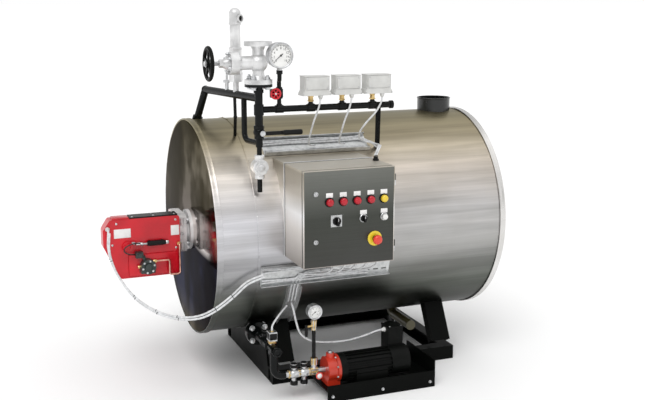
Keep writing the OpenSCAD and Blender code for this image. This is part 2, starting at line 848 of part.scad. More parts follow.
module panel_box() {
    color([0.72, 0.7, 0.66]) placed() difference() {
        translate([px - half_w, box_front, pz - half_w]) cube([panel_w, panel_d, panel_w]);
        translate([px - half_w + panel_t, box_front - eps, pz - half_w + panel_t])
            cube([panel_w - 2 * panel_t, panel_d - panel_t + eps, panel_w - 2 * panel_t]);
    }
    color([0.06, 0.06, 0.06]) placed() {
        translate([px + half_w - gland_edge, box_front + top_gland_back, pz + half_w - eps])
            cylinder(r = gland_r + 1, h = top_gland_h + eps);
        for (x = control_xs) translate([x, panel_gland.y, panel_gland.z])
            cylinder(r = gland_r, h = gland_len + eps);
    }
}

plate_w = panel_w - 50;
stud_h = 12;

module mounting_plate() {
    y = panel_back - panel_t - stud_h;
    color([0.75, 0.75, 0.74]) placed() {
        translate([px - plate_w / 2, y - panel_t, pz - plate_w / 2]) cube([plate_w, panel_t, plate_w]);
        for (i = [-1, 1], j = [-1, 1])
            y_rod(px + i * (plate_w / 2 - 20), y + stud_h, y, pz + j * (plate_w / 2 - 20), 6);
    }
}

module panel_hinges() {
    color([0.3, 0.3, 0.3]) placed() for (z = hinge_zs) {
        translate([hinge_x, hinge_y, z - leaf_h]) cylinder(r = hinge_r, h = leaf_h - run_gap);
        translate([hinge_x, hinge_y, z - leaf_h]) cylinder(r = pin_r, h = 2 * leaf_h);
        translate([px + half_w, hinge_y, z - leaf_h]) cube([hinge_off, 24, leaf_h - run_gap]);
    }
}

// Places the children on the door, with +Z out of its face
module on_door(dx, dz) {
    translate([px + dx, door_face, pz + dz]) rotate([90, 0, 0]) children();
}

lamp_xs = [-89, -29, 32, 93, 152];
lamp_dz = 69;
lamp_r = 20;
main_dx = -59;
main_dz = -10;
selector_dx = 61;
button_dx = 154;
small_dz = -8;
estop_dx = 112;
estop_dz = -97;
shaft_r = 4;
estop_stem_r = 11;
button_r = 12;

module panel_door() {
    back = door_face + door_t;
    color([0.2, 0.2, 0.19]) placed() {
        difference() {
            translate([px - half_w, door_face, pz - half_w]) cube([panel_w, door_t, panel_w]);
            translate([px - half_w + panel_t, door_face + panel_t, pz - half_w + panel_t])
                cube([panel_w - 2 * panel_t, door_t, panel_w - 2 * panel_t]);
            on_door(main_dx, main_dz) cylinder(r = shaft_r + run_gap, h = 20, center = true);
            on_door(selector_dx, small_dz) cylinder(r = shaft_r + run_gap, h = 20, center = true);
            on_door(button_dx, small_dz) cylinder(r = shaft_r + run_gap, h = 20, center = true);
            on_door(estop_dx, estop_dz) cylinder(r = estop_stem_r + run_gap, h = 20, center = true);
        }
        for (z = hinge_zs) difference() {
            union() {
                translate([hinge_x, hinge_y, z]) cylinder(r = hinge_r, h = leaf_h);
                translate([px + half_w - panel_t, back - 12, z]) cube([hinge_off + panel_t, 10, leaf_h]);
            }
            translate([hinge_x, hinge_y, z - eps]) cylinder(r = pin_r + run_gap, h = leaf_h + 2 * eps);
        }
    }
}

module indicator_lamps() {
    color([0.8, 0.05, 0.05]) placed() for (x = lamp_xs) on_door(x, lamp_dz) {
        cylinder(r = lamp_r, h = 5);
        cylinder(r1 = lamp_r - 3, r2 = lamp_r - 6, h = 20);
    }
}

module main_switch_plate() {
    color([0.6, 0.6, 0.58]) placed() on_door(main_dx, main_dz) difference() {
        translate([-24, -24, 0]) cube([48, 48, 3]);
        translate([0, 0, -eps]) cylinder(r = shaft_r + run_gap, h = 5);
    }
}

module main_switch_knob() {
    color([0.05, 0.05, 0.05]) placed() on_door(main_dx, main_dz) {
        translate([0, 0, -10]) cylinder(r = shaft_r, h = 16);
        translate([0, 0, 4]) cylinder(r = 17, h = 8);
        translate([-5, -17, 12]) cube([10, 34, 14]);
    }
}

module selector_knob() {
    color([0.05, 0.05, 0.05]) placed() on_door(selector_dx, small_dz) {
        translate([0, 0, -10]) cylinder(r = shaft_r, h = 12);
        translate([0, 0, 1]) cylinder(r = 13, h = 10);
        translate([-4, -13, 11]) cube([8, 26, 12]);
    }
}

button_travel = 4;

module push_button() {
    color([0.9, 0.9, 0.88]) placed() on_door(button_dx, small_dz) {
        translate([0, 0, -10]) cylinder(r = shaft_r, h = 20);
        translate([0, 0, button_travel + 5]) cylinder(r = button_r, h = 8);
    }
}

estop_collar_t = 4;

module estop_collar() {
    color([0.92, 0.8, 0.05]) placed() on_door(estop_dx, estop_dz) difference() {
        cylinder(r = 31, h = estop_collar_t);
        translate([0, 0, -eps]) cylinder(r = estop_stem_r + run_gap, h = estop_collar_t + 2 * eps);
    }
}

module estop_button() {
    color([0.85, 0.12, 0.05]) placed() on_door(estop_dx, estop_dz) {
        translate([0, 0, -12]) cylinder(r = estop_stem_r, h = 34);
        translate([0, 0, 18]) cylinder(r = 20, h = estop_reach - 18 - 8);
        translate([0, 0, estop_reach - 8]) cylinder(r1 = 20, r2 = 14, h = 8);
    }
}

// Cable trays
// Angles from the top: the trays pass just above and just below the panel's console
tray_half_a = atan(tray_w / 2 / shell_r);
upper_a = acos((panel_h + half_w) / shell_r) - tray_half_a - 1.2;
lower_a = acos((panel_h - half_w) / shell_r) + tray_half_a + 4.9;
upper_x = [-430, 64];
lower_x = [-500, 106];
slot_pitch = 40;
slot_l = 24;
slot_w = 7;
branch_x = [-372, -310];
branch_a = [23.5, 55];

// Open tray lying on the jacket at an angle from the top, over one stretch of its length
module tray(a, x0, x1) {
    translate([x0, 0, axis_h]) rotate([a, 0, 0]) translate([0, 0, shell_r + seat]) difference() {
        rotate([90, 0, 90]) linear_extrude(x1 - x0) difference() {
            translate([-tray_w / 2, 0]) square([tray_w, tray_side]);
            translate([-tray_w / 2 + tray_t, tray_t]) square([tray_w - 2 * tray_t, tray_side]);
        }
        for (x = [slot_pitch / 2 : slot_pitch : x1 - x0 - slot_pitch / 2], y = [-tray_w / 4, tray_w / 4])
            translate([x - slot_l / 2, y - slot_w / 2, -eps]) cube([slot_l, slot_w, tray_t + 2 * eps]);
    }
}

module upper_cable_tray() {
    color([0.75, 0.76, 0.76]) placed() tray(upper_a, upper_x[0], upper_x[1]);
}

module lower_cable_tray() {
    color([0.75, 0.76, 0.76]) placed() {
        tray(lower_a, lower_x[0], lower_x[1]);
        translate([branch_x[0], 0, axis_h]) rotate([0, 90, 0]) rotate(branch_a[0] - 90)
            rotate_extrude(angle = branch_a[1] - branch_a[0]) translate([shell_r + seat, 0]) difference() {
                square([tray_side, branch_x[1] - branch_x[0]]);
                translate([tray_t, tray_t]) square([tray_side, branch_x[1] - branch_x[0] - 2 * tray_t]);
            }
    }
}

// Blowdown pipe under the shell
blow_x = 314;
blow_y = -60;
blow_drop = 26;
blow_r = 24;

module blowdown_pipe() {
    low = axis_h - shell_r;
    color([0.22, 0.2, 0.12]) placed() difference() {
        bent_pipe([[blow_x, blow_y, low + 40], [blow_x, blow_y, low - blow_drop],
            [blow_x, 19 - rail_in, low - blow_drop]], blow_r, 44);
        shell_cut();
    }
}

// Feed line, pump and pump tray
feed_r = feed_od / 2;
fx = -feed_x;
fy = -(shell_r + feed_out);
feed_z = shell_gap + feed_rise;
feed_end = fx + 50;
feed_root = 180;
feed_flange_y = -300;
feed_flange_t = 16;
tee_end = fy - 34;
pump_x = -208;
pump_r = pump_d / 2;
motor_r = motor_d / 2;
pump_t = 57;

// Feed inlet with its flange pair, a tee and the drop to the pump's height
module feed_pipe() {
    color([0.05, 0.05, 0.05]) placed() {
        difference() {
            y_rod(fx, -feed_root, tee_end, feed_z, feed_r);
            shell_cut();
        }
        translate([fx, fy, feed_z]) sphere(r = feed_r + 4);
        y_rod(fx, fy, fy - 24, feed_z, feed_r + 4);
        translate([fx, tee_end, feed_z]) rotate([90, 0, 0]) hex(40, 14);
        bent_pipe([[fx, fy, feed_z], [fx, fy, pump_h], [feed_end, fy, pump_h]], feed_r, 36);
        for (i = [0, 1]) y_rod(fx, feed_flange_y - i * 18, feed_flange_y - i * 18 - feed_flange_t, feed_z, 52);
    }
}

line_r = 13;
valve_xs = [fx + 90, fx + 136];
gauge_tee_x = -288;
coil_y = fy + 24;
coil_top = 74;
coil_h = 40;

module feed_valve(x) {
    x_rod(x - 18, x + 18, fy, pump_h, 18);
    for (side = [-1, 1]) translate([x + side * 18 - 3, fy, pump_h]) rotate([0, 90, 0]) hex(32, 6);
    translate([x, fy, pump_h - 34]) cylinder(r = 10, h = 64);
    translate([x, fy, pump_h - 52]) cylinder(r = 16, h = 19);
    translate([x, fy, pump_h + 28]) cylinder(r = 16, h = 18);
}

// Two stop valves, the gauge's tee, the vent with its small wheel, and the solenoid on the inlet
module feed_valves() {
    color([0.6, 0.6, 0.58]) placed() {
        x_rod(feed_end, pump_x - pump_t / 2, fy, pump_h, line_r);
        for (x = valve_xs) feed_valve(x);
        translate([gauge_tee_x, fy, pump_h]) cylinder(r = 12, h = 30);
        translate([gauge_tee_x, fy, pump_h + 30]) hex(28, 30);
        translate([gauge_tee_x - 16, fy, pump_h]) rotate([0, 90, 0]) hex(32, 32);
        y_rod(gauge_tee_x + 12, fy, fy - 34, pump_h - 12, 6);
        y_rod(gauge_tee_x + 12, fy - 30, fy - 40, pump_h - 12, 14);
        difference() {
            union() {
                translate([fx, coil_y, feed_z]) cylinder(r = 10, h = 40);
                translate([fx - 17, coil_y - 20, feed_z + coil_top - coil_h]) cube([34, 40, coil_h]);
            }
            y_rod(fx, -feed_root, tee_end, feed_z, feed_r + seat);
            translate([fx, fy, feed_z]) sphere(r = feed_r + 4 + seat);
        }
    }
}

tray_plate_t = 5;
tray_top = pump_tray_h + tray_plate_t;
tray_end_h = 124;
rib_t = 4;
rib_h = 8;
ribs = 20;
terminal_x = 252;
terminal_len = 70;
terminal_w = 80;
terminal_h = 84;
terminal_in = 5;
cowl_x = 244;
shield_t = 30;
motor_x = pump_x + pump_t / 2;
motor_gland_len = 12.5;
motor_gland_drop = 19;
motor_gland = [motor_x + terminal_x - motor_gland_len, fy + terminal_in + terminal_w / 2,
    pump_h + motor_r + terminal_h - motor_gland_drop];

module feed_pump() {
    color([0.75, 0.08, 0.08]) placed() {
        x_rod(pump_x - pump_t / 2, pump_x + pump_t / 2 - 14, fy, pump_h, pump_r - 6);
        x_rod(pump_x + pump_t / 2 - 14, pump_x + pump_t / 2, fy, pump_h, pump_r);
        translate([pump_x - pump_t / 2, fy - 40, tray_top]) cube([pump_t, 80, pump_h - tray_top]);
        translate([pump_x - 4, fy, pump_h]) cylinder(r = 18, h = pump_r + 10);
    }
}

// Ribbed motor with end shield, fan cowl, foot and terminal box
module pump_motor() {
    x0 = motor_x;
    color([0.07, 0.07, 0.07]) placed() {
        x_rod(x0, x0 + motor_len, fy, pump_h, motor_r - rib_h);
        x_rod(x0, x0 + shield_t, fy, pump_h, motor_r);
        x_rod(x0 + cowl_x, x0 + motor_len, fy, pump_h, motor_r);
        for (i = [0 : ribs - 1]) translate([x0 + shield_t - eps, fy, pump_h]) rotate([360 / ribs * i, 0, 0])
            translate([0, -rib_t / 2, motor_r / 2]) cube([cowl_x - shield_t + 2 * eps, rib_t, motor_r / 2]);
        translate([x0 + 70, fy - 60, tray_top]) cube([150, 120, pump_h - tray_top]);
        translate([x0 + terminal_x, fy + terminal_in, pump_h])
            cube([terminal_len, terminal_w, motor_r + terminal_h]);
        x_rod(motor_gland.x, x0 + terminal_x + eps, motor_gland.y, motor_gland.z, gland_r);
    }
}

module pump_tray() {
    x0 = -259;
    front = fy - pump_r - 33;
    color([0.05, 0.05, 0.05]) placed() {
        translate([x0, front, 0]) cube([pump_tray_len, tray_plate_t, apron_h]);
        translate([x0, front, pump_tray_h]) cube([pump_tray_len, -rail_out - front, tray_plate_t]);
        translate([x0 + pump_tray_len - tray_plate_t, front, 0])
            cube([tray_plate_t, -rail_out - front, tray_end_h]);
    }
}

low_gauge_rise = 271;
low_gauge_z = pump_h + low_gauge_rise;
low_gauge_d = 64;
gauge_foot = 60;
gauge_cock_drop = 84;

module lower_gauge() {
    foot = pump_h + gauge_foot;
    cock = low_gauge_z - gauge_cock_drop;
    color([0.9, 0.9, 0.88]) placed() translate([gauge_tee_x, 0, 0]) {
        translate([0, fy, foot]) cylinder(r = 8, h = low_gauge_z - foot - 20);
        y_rod(0, fy + 15, fy - 15, low_gauge_z, low_gauge_d / 2);
        translate([0, fy, cock]) hex(22, 44);
        x_rod(-34, 0, fy, cock + 18, 5);
        translate([-34, fy, cock - 30]) cylinder(r = 6, h = 54);
    }
}

// Flexible cables along points chosen by hand
cable_r = 4.5;
cable_sides = 8;
burner_route = [burner_gland, [-1086, -172, 727], [-1090, -186, 705], [-1094, -198, 665], [-1088, -212, 615],
    [-1066, -242, 550], [-1010, -298, 465], [-930, -354, 408], [-850, -402, 386], [-770, -444, 392],
    [-700, -466, 425], [-630, -480, 478], [-570, -496, 534], [-500, -508, 562]];
switch_route = [switch_gland, [-4, -486, 1276], [-14, -484, 1240], [-26, -466, 1190], [-28, -430, 1130],
    [-16, -385, 1092], [10, -340, 1077], [40, -310, 1072]];
pump_route = [[-341, -412, 392], [-340, -438, 366], [-334, -456, 315], [-318, -468, 262], [-270, -478, 228],
    [-190, -486, 214], [-100, -492, 214], [-20, -500, 230], [30, -505, 245], motor_gland];
control_route = [panel_gland, [-2, -598, 590], [-24, -570, 560], [-66, -520, 545], [-120, -486, 545]];
coil_route = [[fx, coil_y, feed_z + coil_top], [fx + 6, coil_y + 6, 340], [fx + 50, coil_y + 40, 372], [-368, -428, 386]];

// Tangent of a route at point i
function route_dir(p, i) = unit(p[min(i + 1, len(p) - 1)] - p[max(i - 1, 0)]);
function ring(c, d, r) = let (s = unit(cross(d, abs(d.z) > 0.9 ? [1, 0, 0] : [0, 0, 1])), t = cross(s, d))
    [for (k = [0 : cable_sides - 1]) c + r * (cos(360 * k / cable_sides) * s + sin(360 * k / cable_sides) * t)];

module cable(p, r) {
    n = len(p);
    m = cable_sides;
    pts = [for (i = [0 : n - 1]) each ring(p[i], route_dir(p, i), r)];
    sides = [for (i = [0 : n - 2], k = [0 : m - 1], half = [0, 1])
        half == 0 ? [i * m + k, i * m + (k + 1) % m, (i + 1) * m + (k + 1) % m]
            : [i * m + k, (i + 1) * m + (k + 1) % m, (i + 1) * m + k]];
    polyhedron(pts, concat(sides, [[for (k = [m - 1 : -1 : 0]) k], [for (k = [0 : m - 1]) (n - 1) * m + k]]));
}

module burner_cable() {
    color([0.7, 0.7, 0.7]) placed() cable(burner_route, cable_r);
}

module switch_cables() {
    color([0.7, 0.7, 0.7]) placed() for (x = switch_xs) translate([x + gland_off, 0, 0]) cable(switch_route, cable_r - 1);
}

module pump_cable() {
    color([0.7, 0.7, 0.7]) placed() cable(pump_route, cable_r);
}

// Leads from the panel's underside into the lower tray, and the solenoid's lead
module control_cables() {
    color([0.7, 0.7, 0.7]) placed() {
        for (x = control_xs) translate([x, 0, 0]) cable(control_route, cable_r - 1);
        cable(coil_route, cable_r - 1);
    }
}

jacket_front_course();
jacket_main_course();
front_cover();
rear_cover();
flue_stub();
base_rails();
cross_beams();
front_saddle();
legs();
burner_flange();
burner_casing();
burner_lid();
burner_fuel_pump();
burner_servo();
burner_oil_pipe();
steam_pipe();
stand_pipe();
pressure_manifold();
manifold_bracket();
stop_valve_body();
stop_valve_bonnet();
stop_valve_stem();
stop_valve_wheel();
safety_valve();
vent_cock();
drain_loop();
drain_valve();
drain_lever();
drain_pipes();
steam_trap();
pressure_switches();
switch_stems();
pressure_gauge();
gauge_cock();
gauge_cock_wheel();
panel_console();
panel_box();
mounting_plate();
panel_hinges();
panel_door();
indicator_lamps();
main_switch_plate();
main_switch_knob();
selector_knob();
push_button();
estop_collar();
estop_button();
upper_cable_tray();
lower_cable_tray();
blowdown_pipe();
feed_pipe();
feed_valves();
feed_pump();
pump_motor();
pump_tray();
lower_gauge();
burner_cable();
switch_cables();
pump_cable();
control_cables();
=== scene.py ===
"""Looks of a packaged steam boiler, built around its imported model."""
import logging
import math
from dataclasses import dataclass, field
from enum import Enum

import bmesh
import bpy
from mathutils import Matrix, Vector


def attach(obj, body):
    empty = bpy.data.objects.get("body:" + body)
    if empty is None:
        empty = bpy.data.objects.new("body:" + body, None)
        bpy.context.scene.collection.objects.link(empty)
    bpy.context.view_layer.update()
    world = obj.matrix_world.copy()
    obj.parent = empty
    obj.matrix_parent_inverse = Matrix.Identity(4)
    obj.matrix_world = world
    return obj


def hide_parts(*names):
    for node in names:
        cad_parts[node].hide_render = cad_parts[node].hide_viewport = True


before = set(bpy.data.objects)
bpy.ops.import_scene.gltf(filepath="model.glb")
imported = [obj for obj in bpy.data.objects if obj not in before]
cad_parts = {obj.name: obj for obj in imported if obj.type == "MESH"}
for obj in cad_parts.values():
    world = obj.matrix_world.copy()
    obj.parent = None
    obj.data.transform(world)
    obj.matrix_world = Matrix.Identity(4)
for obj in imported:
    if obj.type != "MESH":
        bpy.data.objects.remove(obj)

log = logging.getLogger("boiler")
logging.basicConfig(level=logging.INFO, format="%(name)s: %(message)s")

Colour = tuple[float, float, float]
Stops = tuple[tuple[float, Colour], ...]
Outline = list[tuple[float, float]]
Socket = bpy.types.NodeSocket

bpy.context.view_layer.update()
SHIFT = Vector((0.206, 0.1384, 0.0))
# Shared places, in millimetres from the boiler's middle and the floor
AXIS_Z = 680.0
STEAM_X, STEAM_Y = -495.0, -462.0
PANEL_X, PANEL_Z, PANEL_HALF = -197.0, 831.0, 200.0
PANEL_GLAND_XS, PANEL_GLAND_Y = (-213, -163, -113, -63, -13), -600
# Lowest and highest places of the jacket and the panel, in metres
JACKET_LOW, JACKET_HIGH = 0.19, 1.17
PANEL_LOW, PANEL_HIGH = (PANEL_Z - PANEL_HALF) / 1000, (PANEL_Z + PANEL_HALF) / 1000
# Colour sockets of Blender's mix node
MIX_A, MIX_B, MIX_RESULT = 6, 7, 2


def at(x: float, y: float, z: float) -> Vector:
    """Point in metres of the model's frame, from millimetres off the boiler's middle and the floor."""
    return Vector((x, y, z)) / 1000 + SHIFT


class Way(Enum):
    """Direction that a fitting faces."""

    FRONT = (-1.0, 0.0, 0.0)
    REAR = (1.0, 0.0, 0.0)
    NEAR = (0.0, -1.0, 0.0)
    FAR = (0.0, 1.0, 0.0)
    UP = (0.0, 0.0, 1.0)
    DOWN = (0.0, 0.0, -1.0)

    @property
    def vector(self) -> Vector:
        """Unit vector of this direction."""
        return Vector(self.value)


def heading(way: Way | Vector) -> Vector:
    """Vector of a named or a given direction."""
    return way.vector if isinstance(way, Way) else way


def grey(level: float) -> Colour:
    """Neutral colour of one level."""
    return (level, level, level)


def fill_ramp(node: bpy.types.ShaderNodeValToRGB, stops: Stops) -> None:
    """Set the stops of a colour ramp.

    Args:
        node: the ramp.
        stops: places and their colours.
    """
    bar = node.color_ramp.elements
    while len(bar) < len(stops):
        bar.new(0.5)
    for stop, (place, colour) in zip(bar, stops):
        stop.position = place
        stop.color = (*colour, 1.0)


class Body(Enum):
    """Body that a piece moves with."""

    BOILER = "boiler"
    DOOR = "door"
    MAIN_SWITCH = "main_switch"
    SELECTOR = "selector"
    START_BUTTON = "start_button"
    EMERGENCY_STOP = "emergency_stop"
    HANDWHEEL = "handwheel"
    LEVER = "lever"
    COCK_WHEEL = "cock_wheel"


class Graph:
    """Builder of one material's nodes."""

    def __init__(self, name: str) -> None:
        """Start a material with an empty shader.

        Args:
            name: name of the material.
        """
        self.material = bpy.data.materials.new(name)
        self.material.use_nodes = True
        self.tree = self.material.node_tree
        self.shader = self.tree.nodes["Principled BSDF"]
        self.place = self.tree.nodes.new("ShaderNodeTexCoord").outputs["Object"]

    def put(self, socket: Socket, value: object) -> None:
        """Link or set one input.

        Args:
            socket: input to fill.
            value: an output socket, a number or a colour.
        """
        if isinstance(value, Socket):
            self.tree.links.new(value, socket)
        elif isinstance(value, (tuple, list)) and len(value) == 3 and socket.type == "RGBA":
            socket.default_value = (*value, 1.0)
        else:
            socket.default_value = value

    def set(self, **inputs: object) -> None:
        """Fill the shader's inputs, named with underscores for spaces."""
        for name, value in inputs.items():
            self.put(self.shader.inputs[name.replace("_", " ")], value)

    def stretched(self, scale: Colour, turn: Colour = grey(0.0), shift: Colour = grey(0.0)) -> Socket:
        """Object coordinates, scaled, turned and shifted.

        Args:
            scale: scale along each axis.
            turn: turn about each axis in degrees.
            shift: shift after the scale.

        Returns:
            The mapped vector.
        """
        node = self.tree.nodes.new("ShaderNodeMapping")
        self.put(node.inputs["Vector"], self.place)
        node.inputs["Location"].default_value = shift
        node.inputs["Scale"].default_value = scale
        node.inputs["Rotation"].default_value = [math.radians(a) for a in turn]
        return node.outputs["Vector"]

    def noise(self, scale: float, detail: float = 3.0, vector: Socket | None = None,
              rough: float = 0.5) -> Socket:
        """Cloudy noise between 0 and 1.

        Args:
            scale: waves in a metre.
            detail: octaves.
            vector: coordinates, the object's own if left out.
            rough: weight of the fine octaves.

        Returns:
            The noise value.
        """
        node = self.tree.nodes.new("ShaderNodeTexNoise")
        self.put(node.inputs["Vector"], vector or self.place)
        node.inputs["Scale"].default_value = scale
        node.inputs["Detail"].default_value = detail
        node.inputs["Roughness"].default_value = rough
        return node.outputs["Fac"]

    def cells(self, scale: float) -> Socket:
        """Distance to the middle of small cells.

        Args:
            scale: cells in a metre.

        Returns:
            The distance value.
        """
        node = self.tree.nodes.new("ShaderNodeTexVoronoi")
        self.put(node.inputs["Vector"], self.place)
        node.inputs["Scale"].default_value = scale
        return node.outputs["Distance"]

    def patch(self, middle: Colour, reach: Colour) -> Socket:
        """Soft patch that is 1 at its middle and 0 past its reach.

        Args:
            middle: its centre, in metres.
            reach: half its size along each axis, without an end where it is 0.

        Returns:
            The patch's value.
        """
        scale = tuple(1 / r if r else 0.0 for r in reach)
        node = self.tree.nodes.new("ShaderNodeTexGradient")
        node.gradient_type = "SPHERICAL"
        shift = tuple(-m * k for m, k in zip(middle, scale))
        self.put(node.inputs["Vector"], self.stretched(scale, shift=shift))
        return node.outputs["Fac"]

    def ramp(self, value: Socket, stops: Stops) -> Socket:
        """Colour that follows a value.

        Args:
            value: number between 0 and 1.
            stops: places and their colours.

        Returns:
            The colour.
        """
        node = self.tree.nodes.new("ShaderNodeValToRGB")
        self.put(node.inputs["Fac"], value)
        fill_ramp(node, stops)
        return node.outputs["Color"]

    def span(self, value: Socket, low: float, high: float, start: float = 0.0, end: float = 1.0) -> Socket:
        """Value carried from one range to another.

        Args:
            value: number to carry over.
            low, high: limits of the result.
            start, end: limits of the value.

        Returns:
            The new value.
        """
        node = self.tree.nodes.new("ShaderNodeMapRange")
        self.put(node.inputs["Value"], value)
        limits = {"From Min": start, "From Max": end, "To Min": low, "To Max": high}
        for name, number in limits.items():
            node.inputs[name].default_value = number
        return node.outputs["Result"]

    def blend(self, share: Socket | float, a: object, b: object, mode: str = "MIX") -> Socket:
        """Mix of two colours.

        Args:
            share: share of the second colour.
            a, b: colours.
            mode: Blender's name of the mix.

        Returns:
            The mixed colour.
        """
        node = self.tree.nodes.new("ShaderNodeMix")
        node.data_type = "RGBA"
        node.blend_type = mode
        self.put(node.inputs["Factor"], share)
        self.put(node.inputs[MIX_A], a)
        self.put(node.inputs[MIX_B], b)
        return node.outputs[MIX_RESULT]

    def toned(self, base: object, share: float, value: Socket, stops: Stops) -> Socket:
        """Colour multiplied, to a share, by one that follows a value between 0 and 1."""
        return self.blend(share, base, self.ramp(value, stops), "MULTIPLY")

    def along(self, axis: str) -> Socket:
        """Place along one of the boiler's axes.

        Args:
            axis: X, Y or Z.

        Returns:
            The place in metres.
        """
        node = self.tree.nodes.new("ShaderNodeSeparateXYZ")
        self.put(node.inputs[0], self.place)
        return node.outputs[axis]

    def bump(self, value: Socket, strength: float, depth: float) -> None:
        """Add a relief to the shader's normal.

        Args:
            value: height between 0 and 1.
            strength: share of the relief.
            depth: depth in metres.
        """
        node = self.tree.nodes.new("ShaderNodeBump")
        self.put(node.inputs["Height"], value)
        node.inputs["Strength"].default_value = strength
        node.inputs["Distance"].default_value = depth
        old = self.shader.inputs["Normal"]
        if old.is_linked:
            self.tree.links.new(old.links[0].from_socket, node.inputs["Normal"])
        self.tree.links.new(node.outputs["Normal"], old)


# Tones of the jacket's long bands of painted reflection
REFLECTION_BAND_TONES = ((0.36, (0.66, 0.66, 0.64)), (0.50, (0.98, 0.98, 0.97)), (0.64, (1.28, 1.27, 1.26)))
# Tones of the painted reflection of a hall on the polished cover
HALL_REFLECTION_TONES = ((0.40, (0.45, 0.44, 0.32)), (0.52, (0.85, 0.84, 0.75)), (0.60, (2.2, 2.2, 2.3)))


@dataclass(frozen=True)
class Finish:
    """A finish that gives one material."""

    name: str
    colour: Colour
    rough: float = 0.4
    slot: str = "bright_steel"

    def dress(self, graph: Graph) -> None:
        """Fill the material's nodes."""
        graph.set(Base_Color=self.colour, Roughness=self.rough)

    def shade(self, share: float) -> Colour:
        """The finish's colour, darkened to a share."""
        return tuple(c * share for c in self.colour)

    def material(self) -> bpy.types.Material:
        """Make the material once and return it."""
        label = f"finish_{self.name}"
        known = bpy.data.materials.get(label)
        if known:
            return known
        graph = Graph(label)
        self.dress(graph)
        return graph.material


@dataclass(frozen=True)
class BrushedSheet(Finish):
    """Brushed stainless sheet with streaks along one axis and handling marks, and painted shading from bottom
    to top where given.
    """

    streaks: Colour = (1.0, 140.0, 140.0)
    wave: float = 0.0
    # Share of the long bands of painted reflection
    bands: float = 0.0
    # Painted shading from bottom to top between two heights, with a darker painted shade towards the rear
    tint: Stops = ()
    tint_low: float = 0.0
    tint_high: float = 1.0
    rear_tint: Stops = ()
    rear_from: float = -0.12
    rear_to: float = 0.28
    metal: float = 1.0

    def dress(self, graph: Graph) -> None:
        """Fill the nodes: painted shading by height and towards the rear, streaks, cloudy tone, long bands of
        painted reflection and shallow waves.

        Args:
            graph: builder of the material.
        """
        streak = graph.noise(3.0, 4.0, graph.stretched(self.streaks), 0.6)
        cloud = graph.noise(4.5, 4.0)
        base: object = self.colour
        # Painted shading: the colour follows the height, and a darker painted shade is blended in towards the
        # rear
        if self.tint:
            level = graph.span(graph.along("Z"), 0.0, 1.0, self.tint_low, self.tint_high)
            base = graph.ramp(level, self.tint)
            if self.rear_tint:
                share = graph.span(graph.along("X"), 0.0, 1.0, self.rear_from, self.rear_to)
                base = graph.blend(share, base, graph.ramp(level, self.rear_tint))
        brushed = graph.toned(base, 0.35, streak, ((0.3, grey(0.72)), (0.7, grey(1.12))))
        aged = graph.toned(brushed, 0.35, cloud, ((0.35, (0.80, 0.78, 0.73)), (0.65, grey(1.0))))
        # Long bands of painted reflection, lighter and darker along the jacket
        if self.bands:
            band = graph.noise(3.0, 3.0, graph.stretched((0.25, 5.0, 5.0)), 0.6)
            aged = graph.toned(aged, self.bands, band, REFLECTION_BAND_TONES)
        graph.set(Base_Color=aged, Metallic=self.metal, Anisotropic=0.35,
                  Roughness=graph.span(streak, self.rough - 0.07, self.rough + 0.08))
        graph.bump(streak, 0.06, 0.0006)
        if self.wave:
            graph.bump(graph.noise(3.2, 1.0, graph.stretched((0.7, 1.6, 1.6))), self.wave, 0.02)


@dataclass(frozen=True)
class MirrorSheet(Finish):
    """Polished front cover, with painted reflections toned from top to bottom, wiping marks, a painted hall
    reflection and a brighter painted reflection patch.
    """

    edge: Colour = (0.36, 0.355, 0.355)
    # Colour, place and reach of the painted reflection patch
    bright: Colour = (0.86, 0.82, 0.80)
    bright_at: Colour = (0.0, -0.11, 0.695)
    bright_reach: Colour = (0.0, 0.36, 0.105)
    tint: Stops = ((0.0, grey(0.1)), (1.0, grey(0.1)))

    def dress(self, graph: Graph) -> None:
        """Fill the nodes: mirror toned with painted reflections, smears, a painted hall reflection, a
        brighter painted reflection patch by the burner and a slow wave.

        Args:
            graph: builder of the material.
        """
        smear = graph.noise(5.0, 5.0, graph.stretched((1.0, 1.0, 3.0), (20.0, 0.0, 0.0)), 0.6)
        # Painted reflection of a hall, in light and dark patches
        hall_reflection = graph.noise(3.4, 3.0, graph.stretched((0.0, 1.0, 0.8), shift=(0.0, 0.35, 0.2)))
        level = graph.span(graph.along("Z"), 0.0, 1.0, JACKET_LOW, JACKET_HIGH)
        base = graph.ramp(level, self.tint)
        wiped = graph.toned(base, 0.3, smear, ((0.35, grey(0.75)), (0.7, grey(1.15))))
        toned = graph.toned(wiped, 1.0, hall_reflection, HALL_REFLECTION_TONES)
        # Painted reflection patch near the burner, in the colour and in the specular tint
        share = graph.span(graph.patch(self.bright_at, self.bright_reach), 0.0, 0.9, 0.05, 0.40)
        graph.set(Base_Color=graph.blend(share, toned, self.bright), Metallic=1.0,
                  Specular_Tint=graph.blend(share, self.edge, self.bright),
                  Roughness=graph.span(smear, self.rough - 0.03, self.rough + 0.06))
        graph.bump(graph.noise(4.0, 1.0), 0.05, 0.02)


@dataclass(frozen=True)
class GlossPaint(Finish):
    """Sprayed paint with orange peel, dust and rubbed spots."""

    rubbed: Colour = (0.2, 0.2, 0.2)
    coat: float = 0.5
    shine: float = 0.5
    peel: float = 0.08
    wear: float = 0.12

    def dress(self, graph: Graph) -> None:
        """Fill the nodes: tone, rubbed spots, dust and orange peel.

        Args:
            graph: builder of the material.
        """
        cloud = graph.noise(9.0, 4.0)
        spots = graph.noise(46.0, 6.0, rough=0.7)
        tone = graph.ramp(cloud, ((0.3, self.shade(0.72)), (0.68, self.colour)))
        share = graph.ramp(spots, ((0.66, grey(0.0)), (0.78, grey(self.wear))))
        worn = graph.blend(share, tone, self.rubbed)
        graph.set(Base_Color=worn, Roughness=graph.span(cloud, self.rough - 0.06, self.rough + 0.10),
                  Coat_Weight=self.coat, Coat_Roughness=0.12, Specular_IOR_Level=self.shine)
        graph.bump(graph.noise(420.0, 2.0), self.peel, 0.0006)
        graph.bump(spots, 0.05, 0.0008)


